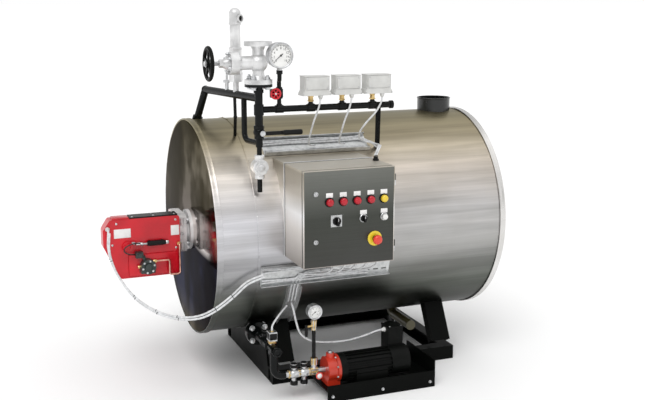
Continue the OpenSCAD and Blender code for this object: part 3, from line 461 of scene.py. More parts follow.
@dataclass(frozen=True)
class CastPaint(Finish):
    """Aluminium paint on a rough casting."""

    metal: float = 0.55
    shine: float = 0.5

    def dress(self, graph: Graph) -> None:
        """Fill the nodes: sandy casting under silver paint.

        Args:
            graph: builder of the material.
        """
        sand = graph.noise(260.0, 4.0, rough=0.65)
        cloud = graph.noise(14.0, 4.0)
        tone = graph.ramp(cloud, ((0.28, self.shade(0.6)), (0.6, self.colour)))
        graph.set(Base_Color=tone, Metallic=self.metal, Specular_IOR_Level=self.shine,
                  Roughness=graph.span(sand, self.rough - 0.1, self.rough + 0.12))
        graph.bump(sand, 0.22, 0.0014)
        graph.bump(graph.cells(130.0), 0.08, 0.001)


@dataclass(frozen=True)
class Moulding(Finish):
    """Moulded plastic with a fine grain."""

    coat: float = 0.1
    shine: float = 0.5

    def dress(self, graph: Graph) -> None:
        """Fill the nodes: grain and faint handling marks.

        Args:
            graph: builder of the material.
        """
        grain = graph.noise(900.0, 2.0)
        cloud = graph.noise(22.0, 3.0)
        graph.set(Base_Color=graph.ramp(cloud, ((0.3, self.shade(0.86)), (0.65, self.colour))),
                  Roughness=graph.span(cloud, self.rough - 0.05, self.rough + 0.08), Coat_Weight=self.coat,
                  Coat_Roughness=0.1, Specular_IOR_Level=self.shine)
        graph.bump(grain, 0.10, 0.0003)


@dataclass(frozen=True)
class DrawnMetal(Finish):
    """Bare or plated metal with turning marks and tarnish."""

    tarnish: Colour = (0.3, 0.25, 0.15)
    marks: float = 0.3

    def dress(self, graph: Graph) -> None:
        """Fill the nodes: tarnish in clouds and fine marks.

        Args:
            graph: builder of the material.
        """
        cloud = graph.noise(38.0, 5.0, rough=0.65)
        fine = graph.noise(600.0, 2.0)
        graph.set(Base_Color=graph.ramp(cloud, ((0.36, self.tarnish), (0.56, self.colour))), Metallic=1.0,
                  Roughness=graph.span(cloud, self.rough + 0.15, self.rough - 0.05))
        graph.bump(fine, self.marks * 0.3, 0.0003)


@dataclass(frozen=True)
class Sheath(Finish):
    """Soft cable sheath."""

    def dress(self, graph: Graph) -> None:
        """Fill the nodes: scuffs along the sheath.

        Args:
            graph: builder of the material.
        """
        scuff = graph.noise(70.0, 4.0)
        graph.set(Base_Color=graph.ramp(scuff, ((0.3, self.shade(0.7)), (0.6, self.colour))),
                  Roughness=graph.span(scuff, self.rough + 0.1, self.rough - 0.05))
        graph.bump(graph.noise(800.0, 2.0), 0.08, 0.0003)


# Painted shading of the sheets from bottom to top, and the finishes
# The jacket's foot is nearly black as painted shade, and its crown is a darker khaki
JACKET_FOOT_SHADE = ((0.0, (0.012, 0.014, 0.010)), (0.10, (0.035, 0.040, 0.032)), (0.24, (0.14, 0.15, 0.135)))
JACKET_CROWN = ((0.92, (0.42, 0.365, 0.255)), (1.0, (0.27, 0.235, 0.135)))
# Jacket from bottom to top: painted shade low down, a lighter painted reflection through the middle, then the
# darker khaki crown; the rear copy is darker as painted shade
FRONT_SHADING = (*JACKET_FOOT_SHADE, (0.42, (0.42, 0.42, 0.44)), (0.60, (0.84, 0.84, 0.89)),
              (0.78, (0.80, 0.75, 0.71)), *JACKET_CROWN)
REAR_SHADING = (*JACKET_FOOT_SHADE, (0.42, (0.35, 0.35, 0.345)), (0.60, (0.57, 0.56, 0.56)),
             (0.78, (0.57, 0.515, 0.46)), *JACKET_CROWN)
# Painted reflections on the polished cover, from bottom to top
COVER_REFLECTIONS = ((0.0, (0.15, 0.135, 0.09)), (0.08, (0.05, 0.05, 0.06)), (0.16, (0.018, 0.022, 0.046)),
              (0.42, (0.022, 0.026, 0.054)), (0.56, (0.16, 0.14, 0.12)), (0.70, (0.14, 0.125, 0.095)),
              (1.0, (0.085, 0.075, 0.040)))
JACKET = BrushedSheet("jacket_sheet", (0.6, 0.59, 0.56), 0.34, "stainless", wave=0.12, bands=0.6,
                      tint=FRONT_SHADING, tint_low=JACKET_LOW, tint_high=JACKET_HIGH, rear_tint=REAR_SHADING)
RIM = BrushedSheet("rim_sheet", (0.74, 0.73, 0.72), 0.26, "stainless", streaks=(5.0, 5.0, 5.0))
# Panel box from bottom to top: painted shadow low down, a painted highlight through the middle, darker higher
# up and a lighter painted highlight at the top edge
PANEL_SHADING = ((0.0, (0.42, 0.385, 0.36)), (0.15, (0.57, 0.53, 0.50)), (0.38, (0.84, 0.80, 0.76)),
              (0.54, (0.98, 0.97, 0.96)), (0.74, (0.46, 0.425, 0.37)), (0.97, (0.32, 0.29, 0.235)),
              (1.0, (0.52, 0.485, 0.42)))
PANEL_SHEET = BrushedSheet("panel_sheet", (0.92, 0.90, 0.87), 0.36, "stainless", streaks=(140.0, 140.0, 1.0),
                           tint=PANEL_SHADING, tint_low=PANEL_LOW, tint_high=PANEL_HIGH, metal=0.4)
COVER = MirrorSheet("cover_sheet", (0.2, 0.19, 0.16), 0.08, tint=COVER_REFLECTIONS)
# Door darkest low and in the middle, lighter towards the top as a painted highlight
DOOR_SHADING = ((0.0, (0.075, 0.076, 0.072)), (0.5, (0.070, 0.074, 0.066)), (1.0, (0.19, 0.195, 0.18)))
DOOR = BrushedSheet("door_sheet", (0.08, 0.08, 0.075), 0.36, streaks=(1.0, 140.0, 160.0), tint=DOOR_SHADING,
                    tint_low=PANEL_LOW, tint_high=PANEL_HIGH)
BLACK_PAINT = GlossPaint("black_paint", (0.003, 0.0035, 0.003), 0.38, "black_paint",
                         rubbed=(0.05, 0.05, 0.045), coat=0.0, shine=0.06)
PIPE_PAINT = GlossPaint("pipe_paint", (0.0035, 0.0045, 0.0045), 0.22, "black_pipe",
                        rubbed=(0.08, 0.08, 0.07), coat=0.16, shine=0.10, peel=0.12)
FLUE_PAINT = GlossPaint("flue_paint", (0.005, 0.006, 0.006), 0.26, "black_paint",
                        rubbed=(0.06, 0.06, 0.05), coat=0.4, shine=0.4)
OLIVE_PAINT = GlossPaint("olive_paint", (0.075, 0.066, 0.028), 0.38, rubbed=(0.2, 0.18, 0.1), coat=0.2)
RED_PAINT = GlossPaint("red_paint", (0.66, 0.006, 0.018), 0.30, "red_paint",
                       rubbed=(0.30, 0.04, 0.04), coat=0.4, shine=0.3)
PUMP_RED = GlossPaint("pump_red", (0.62, 0.035, 0.012), 0.34, rubbed=(0.2, 0.05, 0.03), coat=0.4)
SILVER_CAST = CastPaint("silver_cast", (0.82, 0.82, 0.82), 0.36, "cast_silver")
MOUTH_CAST = CastPaint("mouth_cast", (0.80, 0.79, 0.79), 0.42, metal=0.25)
IRON_CAST = CastPaint("iron_cast", (0.004, 0.0045, 0.004), 0.42, "black_iron", metal=0.0, shine=0.10)
PUMP_GREEN = CastPaint("fuel_pump_paint", (0.028, 0.040, 0.036), 0.36, "black_iron", metal=0.0)
ZINC = DrawnMetal("zinc_plate", (0.66, 0.67, 0.68), 0.28, tarnish=(0.40, 0.40, 0.40))
GALVANISED = DrawnMetal("galvanised", (0.66, 0.67, 0.67), 0.42, tarnish=(0.52, 0.53, 0.53))
BRASS = DrawnMetal("brass", (0.72, 0.53, 0.24), 0.24, "brass", tarnish=(0.40, 0.27, 0.11))
COPPER = DrawnMetal("oil_pipe_copper", (0.80, 0.46, 0.36), 0.28, tarnish=(0.50, 0.26, 0.2))
BLACK_PLASTIC = Moulding("black_plastic", (0.005, 0.005, 0.005), 0.36, "black_plastic", coat=0.05, shine=0.18)
GREY_PLASTIC = Moulding("grey_plastic", (0.60, 0.61, 0.61), 0.42)
SWITCH_GREY = Moulding("switch_grey", (0.62, 0.62, 0.60), 0.40, "grey_plastic")
WHITE_PLASTIC = Moulding("white_plastic", (0.82, 0.82, 0.80), 0.32, "white_plastic", coat=0.3)
YELLOW_PLASTIC = Moulding("yellow_plastic", (0.82, 0.62, 0.03), 0.34, "yellow_plastic", coat=0.3)
RED_PLASTIC = Moulding("red_plastic", (0.74, 0.045, 0.022), 0.30, "red_plastic", coat=0.4)
RED_LENS = Moulding("red_lens", (0.48, 0.010, 0.022), 0.18, "red_lens", coat=0.4, shine=0.3)
YELLOW_LENS = Moulding("yellow_lens", (0.78, 0.56, 0.02), 0.16, "red_lens", coat=0.8)
DIAL = Moulding("dial_card", (0.86, 0.86, 0.84), 0.42, "gauge_face", coat=0.8)
DIAL_INK = Moulding("dial_ink", (0.02, 0.02, 0.02), 0.5, "gauge_face")
CABLE = Sheath("cable_sheath", (0.70, 0.71, 0.72), 0.42, "cable_grey")
HOSE = Sheath("black_hose", (0.014, 0.014, 0.014), 0.38, "black_plastic")
PLATE = Moulding("blank_plate", (0.84, 0.83, 0.82), 0.34, "white_plastic", coat=0.2)

# Nodes that each finish covers
FINISH_NODES: tuple[tuple[Finish, str], ...] = (
    (JACKET, "jacket_front_course jacket_main_course rear_cover"),
    (COVER, "front_cover"),
    (PANEL_SHEET, "panel_console panel_box"),
    (DOOR, "panel_door"),
    (GALVANISED, "mounting_plate upper_cable_tray lower_cable_tray"),
    (ZINC, "panel_hinges stop_valve_stem vent_cock pressure_gauge lower_gauge feed_valves"),
    (RED_LENS, "indicator_lamps"),
    (GREY_PLASTIC, "main_switch_plate"),
    (BLACK_PLASTIC, "main_switch_knob selector_knob burner_lid burner_servo drain_lever"),
    (WHITE_PLASTIC, "push_button"),
    (YELLOW_PLASTIC, "estop_collar"),
    (RED_PLASTIC, "estop_button"),
    (FLUE_PAINT, "flue_stub"),
    (BLACK_PAINT, "base_rails cross_beams front_saddle legs pump_tray"),
    (MOUTH_CAST, "burner_flange"),
    (RED_PAINT, "burner_casing gauge_cock_wheel"),
    (PUMP_GREEN, "burner_fuel_pump"),
    (COPPER, "burner_oil_pipe"),
    (PIPE_PAINT, "steam_pipe stand_pipe pressure_manifold manifold_bracket drain_loop "
                 "drain_pipes drain_valve gauge_cock feed_pipe"),
    (OLIVE_PAINT, "blowdown_pipe"),
    (SILVER_CAST, "stop_valve_body stop_valve_bonnet safety_valve steam_trap"),
    (IRON_CAST, "stop_valve_wheel pump_motor"),
    (SWITCH_GREY, "pressure_switches"),
    (BRASS, "switch_stems"),
    (PUMP_RED, "feed_pump"),
)


# Edges over the first angle can be rounded, and those over the second one are shaded as sharp
SHARP, CREASE = 0.6, math.radians(35.0)
# Sizes of a bolt as shares of its width across the flats
WASHER_TALL, WASHER_RADIUS, HEAD_RADIUS, HEAD_EDGE = 0.14, 0.68, 0.577, 0.05
STUD_RADIUS, STUD_EDGE = 0.3, 0.04
# Outline of the casing's screws
CASING_SCREW = [(0, 3), (3, 2.6), (5, 1.0), (5.2, -0.5)]


class Shape:
    """A mesh under construction, in the model's frame."""

    def __init__(self) -> None:
        """Start an empty mesh."""
        self.bm = bmesh.new()

    @staticmethod
    def turned(way: Way | Vector) -> Matrix:
        """Turn that carries +Z to a direction."""
        return Way.UP.vector.rotation_difference(heading(way)).to_matrix().to_4x4()

    def soften(self, verts: list[bmesh.types.BMVert], width: float) -> None:
        """Round the sharp edges between some vertices.

        Args:
            verts: vertices of the piece.
            width: width of the rounding in metres.
        """
        edges = dict.fromkeys(e for v in verts for e in v.link_edges)
        sharp = [e for e in edges if e.is_manifold and e.calc_face_angle(0.0) > SHARP]
        bmesh.ops.bevel(self.bm, geom=sharp, offset=width, segments=2, profile=0.5, affect="EDGES",
                        material=-1)

    def drum(self, start: Vector, end: Vector, radius: float, tip: float | None = None,
             sides: int = 32, edge: float = 0.0) -> "Shape":
        """Add a cylinder, cone or prism between two points.

        Args:
            start, end: middles of the two ends.
            radius: radius at the start, in metres.
            tip: radius at the end, the same if left out.
            sides: sides of the prism.
            edge: rounding of its rims.

        Returns:
            This shape.
        """
        line = end - start
        place = Matrix.Translation((start + end) / 2) @ self.turned(line)
        made = bmesh.ops.create_cone(self.bm, cap_ends=True, segments=sides, radius1=radius,
                                     radius2=radius if tip is None else tip, depth=line.length, matrix=place)
        if edge:
            self.soften(made["verts"], edge)
        return self

    def hexagon(self, foot: Vector, way: Way, tall: float, corner: float, edge: float = 1.0) -> "Shape":
        """Add a hexagon nut from its foot on, all its sizes in millimetres."""
        end = foot + way.vector * tall / 1000
        return self.drum(foot, end, corner / 1000, sides=6, edge=edge / 1000)

    def block(self, low: Vector, high: Vector, edge: float = 0.0) -> "Shape":
        """Add a box between two corners.

        Args:
            low, high: lowest and highest corner.
            edge: rounding of its edges.

        Returns:
            This shape.
        """
        size = high - low
        place = Matrix.Translation((low + high) / 2) @ Matrix.Diagonal((*size, 1.0))
        made = bmesh.ops.create_cube(self.bm, size=1.0, matrix=place)
        if edge:
            self.soften(made["verts"], edge)
        return self

    def lathe(self, foot: Vector, way: Way | Vector, outline: Outline, steps: int = 40,
              closed: bool = False) -> "Shape":
        """Spin an outline about a line.

        Args:
            foot: start of the line.
            way: direction of the line.
            outline: radius and distance along the line of each point, in millimetres.
            steps: steps of the full turn.
            closed: whether the outline closes on itself, as for a ring.

        Returns:
            This shape.
        """
        own = bmesh.new()
        points = [own.verts.new((r / 1000, 0.0, h / 1000)) for r, h in outline]
        pairs = list(zip(points, points[1:])) + ([(points[-1], points[0])] if closed else [])
        edges = [own.edges.new(pair) for pair in pairs]
        bmesh.ops.spin(own, geom=points + edges, cent=(0, 0, 0), axis=(0, 0, 1), angle=math.tau,
                       steps=steps, use_merge=True, use_duplicate=False)
        bmesh.ops.remove_doubles(own, verts=own.verts, dist=1e-6)
        bmesh.ops.recalc_face_normals(own, faces=own.faces)
        own.transform(Matrix.Translation(foot) @ self.turned(way))
        mesh = bpy.data.meshes.new("lathe")
        own.to_mesh(mesh)
        own.free()
        self.bm.from_mesh(mesh)
        bpy.data.meshes.remove(mesh)
        return self

    def ring(self, middle: Vector, way: Way | Vector, radius: float, thick: float,
             steps: int = 48) -> "Shape":
        """Add a round ring.

        Args:
            middle: its centre.
            way: direction of its axis.
            radius: radius of its middle line, in millimetres.
            thick: radius of its section, in millimetres.
            steps: steps around it.

        Returns:
            This shape.
        """
        turns = [i * math.tau / 10 for i in range(10)]
        section = [(radius + thick * math.cos(a), thick * math.sin(a)) for a in turns]
        return self.lathe(middle, way, section, steps, closed=True)

    def bolt(self, foot: Vector, way: Way, flats: float, tall: float, stud: float = 0.0) -> "Shape":
        """Add a hexagon head on a washer, with a stud's end if wanted.

        Args:
            foot: where the washer lies.
            way: direction out of the surface.
            flats: width across the flats, in millimetres.
            tall: height of the head, in millimetres.
            stud: reach of the stud past the head, in millimetres.

        Returns:
            This shape.
        """
        wide = flats / 1000
        seat = foot + way.vector * WASHER_TALL * wide
        top = seat + way.vector * tall / 1000
        self.drum(foot, seat, WASHER_RADIUS * wide, sides=20)
        self.drum(seat, top, HEAD_RADIUS * wide, sides=6, edge=HEAD_EDGE * wide)
        if stud:
            end = top + way.vector * stud / 1000
            self.drum(top, end, STUD_RADIUS * wide, sides=14, edge=STUD_EDGE * wide)
        return self

    def bolt_ring(self, middle: Vector, way: Way, radius: float, count: int, flats: float, tall: float,
                  start: float = 0.0, stud: float = 0.0) -> "Shape":
        """Add bolts around a circle.

        Args:
            middle: the circle's centre.
            way: direction out of the surface.
            radius: radius of the circle, in millimetres.
            count: number of bolts.
            flats: width across the flats, in millimetres.
            tall: height of the heads, in millimetres.
            start: angle of the first bolt, in degrees.
            stud: reach of the studs past the heads, in millimetres.

        Returns:
            This shape.
        """
        turn = self.turned(way)
        for i in range(count):
            a = math.radians(start + 360 / count * i)
            spot = middle + turn @ Vector((math.cos(a), math.sin(a), 0)) * radius / 1000
            self.bolt(spot, way, flats, tall, stud)
        return self

    def finish(self, name: str, look: Finish, body: Body = Body.BOILER, slot: str = "",
               replaces: tuple[str, ...] = ()) -> None:
        """Make the object, dress it and hang it on its body.

        Args:
            name: name of the piece.
            look: its finish.
            body: body that it moves with.
            slot: not used.
            replaces: CAD nodes that it stands for.
        """
        mesh = bpy.data.meshes.new(name)
        self.bm.to_mesh(mesh)
        self.bm.free()
        for face in mesh.polygons:
            face.use_smooth = True
        mesh.set_sharp_from_angle(angle=CREASE)
        piece = bpy.data.objects.new(name, mesh)
        bpy.context.scene.collection.objects.link(piece)
        piece.data.materials.append(look.material())
        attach(piece, body.value)
        slot or look.slot
        if replaces:
            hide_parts(*replaces)
        log.info("%s: %d faces on %s", name, len(mesh.polygons), body.value)


@dataclass
class Studio:
    """Camera, floor and light."""

    camera_at: Vector = field(default_factory=lambda: Vector((-1.50478, -4.13445, 1.69612)))
    look_down: float = 78.38
    look_right: float = -21.46
    lens: float = 54.10
    floor_half: float = 400.0
    floor_white: float = 0.96
    sky: tuple = ((0.0, 1.0), (0.12, 0.98), (0.34, 0.56), (0.62, 0.68), (1.0, 1.0))
    lamps: tuple = (("key", 38.0, -35.0, 1.2, 40.0), ("fill", 50.0, 60.0, 0.35, 70.0))

    def camera(self) -> None:
        """Set the camera at the photograph's viewing angle."""
        data = bpy.data.cameras.new("view")
        data.lens = self.lens
        data.sensor_width = 36.0
        data.clip_end = 2000.0
        camera = bpy.data.objects.new("view", data)
        camera.location = self.camera_at
        camera.rotation_euler = (math.radians(self.look_down), 0.0, math.radians(self.look_right))
        bpy.context.scene.collection.objects.link(camera)
        bpy.context.scene.camera = camera
        bpy.context.scene.view_settings.view_transform = "Standard"

    def floor(self) -> None:
        """Lay a wide pale floor."""
        bm = bmesh.new()
        bmesh.ops.create_grid(bm, x_segments=1, y_segments=1, size=self.floor_half)
        mesh = bpy.data.meshes.new("studio_floor")
        bm.to_mesh(mesh)
        bm.free()
        floor = bpy.data.objects.new("studio_floor", mesh)
        bpy.context.scene.collection.objects.link(floor)
        graph = Graph("studio_floor")
        graph.set(Base_Color=grey(self.floor_white), Roughness=0.9, Specular_IOR_Level=0.1)
        floor.data.materials.append(graph.material)

    def world(self) -> None:
        """Surround the floor with a pale sky: bright above, greyer in a band over the horizon."""
        world = bpy.data.worlds.new("studio")
        bpy.context.scene.world = world
        world.use_nodes = True
        tree = world.node_tree
        place = tree.nodes.new("ShaderNodeTexCoord").outputs["Generated"]
        parts = tree.nodes.new("ShaderNodeSeparateXYZ")
        tree.links.new(place, parts.inputs[0])
        ramp = tree.nodes.new("ShaderNodeValToRGB")
        tree.links.new(parts.outputs["Z"], ramp.inputs["Fac"])
        fill_ramp(ramp, tuple((spot, grey(level)) for spot, level in self.sky))
        back = tree.nodes["Background"]
        tree.links.new(ramp.outputs["Color"], back.inputs["Color"])
        back.inputs["Strength"].default_value = 1.0

    def sun(self, name: str, down: float, round_z: float, strength: float, width: float) -> None:
        """Add one wide soft light.

        Args:
            name: its name.
            down: tilt from straight down, in degrees.
            round_z: turn about the vertical, in degrees.
            strength: its strength.
            width: angular width, in degrees.
        """
        data = bpy.data.lights.new(name, "SUN")
        data.energy = strength
        data.angle = math.radians(width)
        lamp = bpy.data.objects.new(name, data)
        lamp.rotation_euler = (math.radians(down), 0.0, math.radians(round_z))
        bpy.context.scene.collection.objects.link(lamp)

    def build(self) -> None:
        """Set up the whole studio."""
        self.camera()
        self.floor()
        self.world()
        for lamp in self.lamps:
            self.sun(*lamp)


@dataclass
class Cord:
    """A round cable or hose along points."""

    name: str
    points: list[Vector]
    radius: float
    look: Finish = CABLE
    node: str = ""
    lay: str = "hanging"
    steps: int = 4

    def line(self) -> list[Vector]:
        """Run a smooth line through the points.

        Returns:
            The line's points.
        """
        p = self.points
        ends = [2 * p[0] - p[1], *p, 2 * p[-1] - p[-2]]
        line = []
        for a, b, c, d in zip(ends, ends[1:], ends[2:], ends[3:]):
            for k in range(self.steps):
                t = k / self.steps
                line.append(0.5 * (2 * b + (c - a) * t + (2 * a - 5 * b + 4 * c - d) * t ** 2
                                   + (3 * b - a - 3 * c + d) * t ** 3))
        return [*line, p[-1]]

    def build(self) -> None:
        line = self.line()
        curve = bpy.data.curves.new(self.name, "CURVE")
        curve.dimensions = "3D"
        curve.bevel_depth = self.radius / 1000
        curve.bevel_resolution = 4
        curve.use_fill_caps = True
        spline = curve.splines.new("POLY")
        spline.points.add(len(line) - 1)
        for point, spot in zip(spline.points, line):
            point.co = (*spot, 1.0)
        cord = bpy.data.objects.new(self.name, curve)
        bpy.context.scene.collection.objects.link(cord)
        curve.materials.append(self.look.material())
        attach(cord, Body.BOILER.value)
        if self.node:
            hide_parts(self.node)
        length = sum((b - a).length for a, b in zip(line, line[1:]))
        tuple(line[0])
        log.info("%s: %.3f m long", self.name, length)


@dataclass
class Cables:
    """The free cables, laid along the same points as their solids, with their ties."""

    thick: float = 4.5
    thin: float = 4.0
    burner: tuple = ((-1086, -156, 730), (-1086, -172, 727), (-1090, -186, 705), (-1094, -198, 665),
                     (-1088, -212, 615), (-1066, -242, 550), (-1010, -298, 465), (-930, -354, 408),
                     (-850, -402, 386), (-770, -444, 392), (-700, -466, 425), (-630, -480, 478),
                     (-570, -496, 534), (-500, -508, 562))
    beside: tuple = (4.0, -6.0, -9.0)
    switch: tuple = ((0, -484, 1295), (-4, -486, 1276), (-14, -484, 1240), (-26, -466, 1190),
                     (-28, -430, 1130), (-16, -385, 1092), (10, -340, 1077), (40, -310, 1072))
    last_switch: tuple = ((54, -484, 1295), (50, -487, 1272), (24, -486, 1228), (-14, -472, 1182),
                          (-30, -440, 1138), (-14, -404, 1106), (22, -398, 1088), (46, -440, 1082),
                          (24, -530, 1086), (-9, -570, 1054))
    switch_xs: tuple = (-230.0, -88.0)
    pump: tuple = ((-341, -412, 392), (-340, -438, 366), (-334, -456, 315), (-318, -468, 262),
                   (-270, -478, 228), (-190, -486, 214), (-100, -492, 214), (-20, -500, 230),
                   (30, -505, 245), (60, -505, 247))
    control: tuple = ((0, PANEL_GLAND_Y, 615), (-2, -598, 590), (-24, -570, 560), (-66, -520, 545),
                      (-120, -486, 545))
    coil: tuple = ((-470, -526, 314), (-464, -520, 340), (-420, -486, 372), (-368, -428, 386))
    tied: tuple = (4, 6, 7, 8, 10, 11)

    @staticmethod
    def route(points: tuple, shift: tuple = (0.0, 0.0, 0.0)) -> list[Vector]:
        """Points of a route in metres, from millimetres, moved by a shift."""
        return [at(*(a + b for a, b in zip(point, shift))) for point in points]

    def burner_leads(self) -> None:
        """Lay the burner's two cables side by side and tie them."""
        first = Cord("burner_lead", self.route(self.burner), self.thick, node="burner_cable")
        first.build()
        Cord("burner_lead_beside", self.route(self.burner[1:], self.beside), self.thick).build()
        ties = Shape()
        for i in self.tied:
            way = (first.points[i + 1] - first.points[i - 1]).normalized()
            middle = first.points[i] + Vector(self.beside) / 2000
            for side in (-1, 1):
                ties.ring(middle + side * Vector(self.beside) / 2000, way, self.thick + 0.4, 1.3, 20)
        ties.finish("burner_lead_ties", BLACK_PLASTIC)

    def build(self) -> None:
        """Lay every cable."""
        self.burner_leads()
        for i, x in enumerate(self.switch_xs):
            lead = self.route(self.switch, (x, 0, 0))
            Cord(f"switch_lead_{i + 1}", lead, self.thin, node="switch_cables").build()
        Cord("switch_lead_3", self.route(self.last_switch), self.thin, node="switch_cables").build()
        Cord("pump_lead", self.route(self.pump), self.thick, node="pump_cable").build()
        for i, x in enumerate(PANEL_GLAND_XS):
            lead = self.route(self.control, (x, 0, 0))
            Cord(f"panel_lead_{i + 1}", lead, self.thin, node="control_cables").build()
        Cord("coil_lead", self.route(self.coil), self.thin, node="control_cables").build()


@dataclass
class ShellTrim:
    """Rim bands, seam screws and the flue's rim."""

    front: float = -688.5
    rear: float = 688.5
    rim: float = 493.2
    front_band: tuple = ((-2, 24), (1.6, 23.4), (2.0, 20), (0.9, 17), (0.9, 5), (1.6, 1), (0.8, -2.6),
                         (-3, -4.2), (-6, -3))
    rear_band: tuple = ((-2, -27), (1.6, -26), (2.2, -22), (1.2, -17), (1.2, -6), (2.0, -2), (0.8, 2),
                        (-3, 3.2), (-6, 2))
    seam: float = -510.5
    seam_radius: float = 491.0
    screws: int = 36
    flue_x: float = 559.5
    flue_rim_z: float = 1226.5
    flue_radius: float = 80.0
    flue_bead: float = 3.0

    def bands(self) -> None:
        """Roll a beaded band around each rim."""
        for name, x, look, band in (("front_rim_band", self.front, JACKET, self.front_band),
                                    ("rear_rim_band", self.rear, RIM, self.rear_band)):
            outline = [(self.rim + out, along) for out, along in band]
            rim = Shape().lathe(at(x, 0, AXIS_Z), Way.REAR, outline, 180, closed=True)
            rim.finish(name, look)

    def seam_screws(self) -> None:
        """Set small pan heads around the seam between the courses."""
        heads = Shape()
        for i in range(self.screws):
            a = math.radians(360 / self.screws * (i + 0.5))
            way = Vector((0.0, -math.sin(a), math.cos(a)))
            foot = at(self.seam, 0, AXIS_Z) + way * (self.seam_radius / 1000)
            heads.lathe(foot, way, [(0, 2.4), (2.2, 2.0), (3.6, 0.8), (3.8, -0.6)], 12)
        heads.finish("seam_screws", JACKET)

    def flue_rim(self) -> None:
        """Turn a bead on the flue's open rim."""
        middle = at(self.flue_x, 0, self.flue_rim_z)
        bead = Shape().ring(middle, Way.UP, self.flue_radius, self.flue_bead, 64)
        bead.finish("flue_rim_bead", FLUE_PAINT)

    def build(self) -> None:
        """Add all the trim."""
        self.bands()
        self.seam_screws()
        self.flue_rim()


@dataclass
class BurnerTrim:
    """Plates, ram, pump fittings, hose and screws of the burner."""

    face: float = -140.0
    z: float = 667.0
    top: float = 766.0
    plate_spans: tuple = ((-1058, -985, 684, 724), (-808, -771, 678, 723))
    fan_panel: tuple = (-1000, -776, 507, 605)
    lid_block_xs: tuple = (-1062, -990)
    ram_x: float = -917.5
    ram_z: float = 653.0
    ram_clips: tuple = (-906, -850)
    pump_x: float = -919.5
    pump_z: float = 554.0
    solenoid_x: float = -955.0
    solenoid_z: float = 607.0
    oil_union: tuple = (-775.5, 640)
    hose_route: tuple = ((-946, -153, 655), (-962, -164, 660), (-990, -168, 659), (-1016, -169, 646),
                         (-1020, -169, 629), (-1002, -168, 616), (-982, -164, 611), (-970, -158, 609))
    lid_screw_xs: tuple = (-975, -882, -788)
    lid_screw_ys: tuple = (-128, -82)
    casing_screws: tuple = ((-1046, 748), (-786, 748), (-786, 620), (-1066, 655))
    flange_x: float = -706.5
    hinge: tuple = (-745.5, -86)
    hinge_dzs: tuple = (-66, 0, 66)
    boss: tuple = (-1000.5, 646)
    gland: tuple = (-1086, -148, 730)

    def spot(self, x: float, z: float, proud: float = 0.0) -> Vector:
        """Point in metres at the casing's near face or some millimetres proud of it."""
        return at(x, self.face - proud, z)

    def plates(self) -> None:
        """Fix the two bare white plates, the raised fan panel and the block beside the lid."""
        plates = Shape()
        for left, right, low, high in self.plate_spans:
            plates.block(self.spot(left, low, 1.6), self.spot(right, high, -0.4), 0.0006)
        plates.finish("burner_plates", PLATE)
        left, right, low, high = self.fan_panel
        panel = Shape().block(self.spot(left, low, 7), self.spot(right, high, -1), 0.005)
        left, right = self.lid_block_xs
        panel.block(self.spot(left, self.top - 4, -4), self.spot(right, self.top + 6, -66), 0.002)
        panel.finish("burner_fan_panel", RED_PAINT)

    def ram(self) -> None:
        """Build the air damper's ram in place of its plain block."""
        x, z, out = self.ram_x, self.ram_z, 13
        ram = Shape().lathe(self.spot(x, z, out), Way.REAR,
                            [(0, 0), (9, 0), (10.5, 1.5), (10.5, 8), (12, 9), (12, 70), (10.5, 71),
                             (10.5, 80), (7, 82), (7, 94), (0, 96)], 28)
        for clip in self.ram_clips:
            ram.block(self.spot(clip - 5, z - 11, out), self.spot(clip + 5, z + 12, -1), 0.001)
        ram.finish("burner_ram", BLACK_PLASTIC, replaces=("burner_servo",))
        ends = Shape().drum(self.spot(x - 20.5, z, out), self.spot(x + 1.5, z, out), 0.0045, sides=16)
        ends.hexagon(self.spot(x - 28.5, z, out), Way.REAR, tall=10, corner=8, edge=0.6)
        ends.hexagon(self.spot(x + 83.5, z, out), Way.REAR, tall=12, corner=8.5, edge=0.6)
        ends.block(self.spot(x - 47.5, z - 3, out + 4), self.spot(x - 28.5, z + 9, -1), 0.002)
        ends.block(self.spot(x - 67.5, z - 1, out - 2), self.spot(x - 51.5, z + 11, -1), 0.002)
        ends.finish("burner_ram_fittings", ZINC)

    def pump_fittings(self) -> None:
        """Dress the fuel pump with its cap, screws, ports and solenoid."""
        x, z, port = self.pump_x, self.pump_z, 24
        middle = self.spot(x, z, 46)
        cap = Shape().lathe(middle, Way.NEAR, [(0, 16), (12, 15.6), (16, 13), (17.4, 9), (17.4, 0.2)], 32)
        cap.finish("fuel_pump_cap", PUMP_GREEN)
        screws = Shape().bolt_ring(middle, Way.NEAR, radius=26, count=6, flats=7, tall=3, start=15)
        screws.finish("fuel_pump_screws", ZINC)
        sx, sz = self.solenoid_x, self.solenoid_z
        body = Shape().block(self.spot(x - 34, z - 30, 44), self.spot(x + 30, z - 8, -1), 0.004)
        body.block(self.spot(sx - 17, sz - 13, 34), self.spot(sx + 17, sz + 13, -1), 0.003)
        body.drum(self.spot(sx, sz, 34), self.spot(sx, sz, 44), 0.010, sides=24, edge=0.001)
        body.drum(self.spot(sx + 25, z + 24, port), self.spot(sx + 17, sz - 7, port), 0.008, sides=16)
        body.finish("burner_solenoid", PUMP_GREEN)
        ports = Shape().hexagon(self.spot(x + 24, z + 20, port), Way.REAR, tall=16, corner=7.5, edge=0.6)
        ports.hexagon(self.spot(*self.oil_union, 13), Way.FAR, tall=13, corner=8.5, edge=0.6)
        ports.hexagon(self.spot(x - 30, z, port), Way.FRONT, tall=14, corner=7.5, edge=0.6)
        ports.finish("burner_oil_unions", BRASS)

    def hose(self) -> None:
        """Loop the thin black hose from the ram to the solenoid."""
        Cord("burner_hose", [at(*point) for point in self.hose_route], 2.6, HOSE).build()

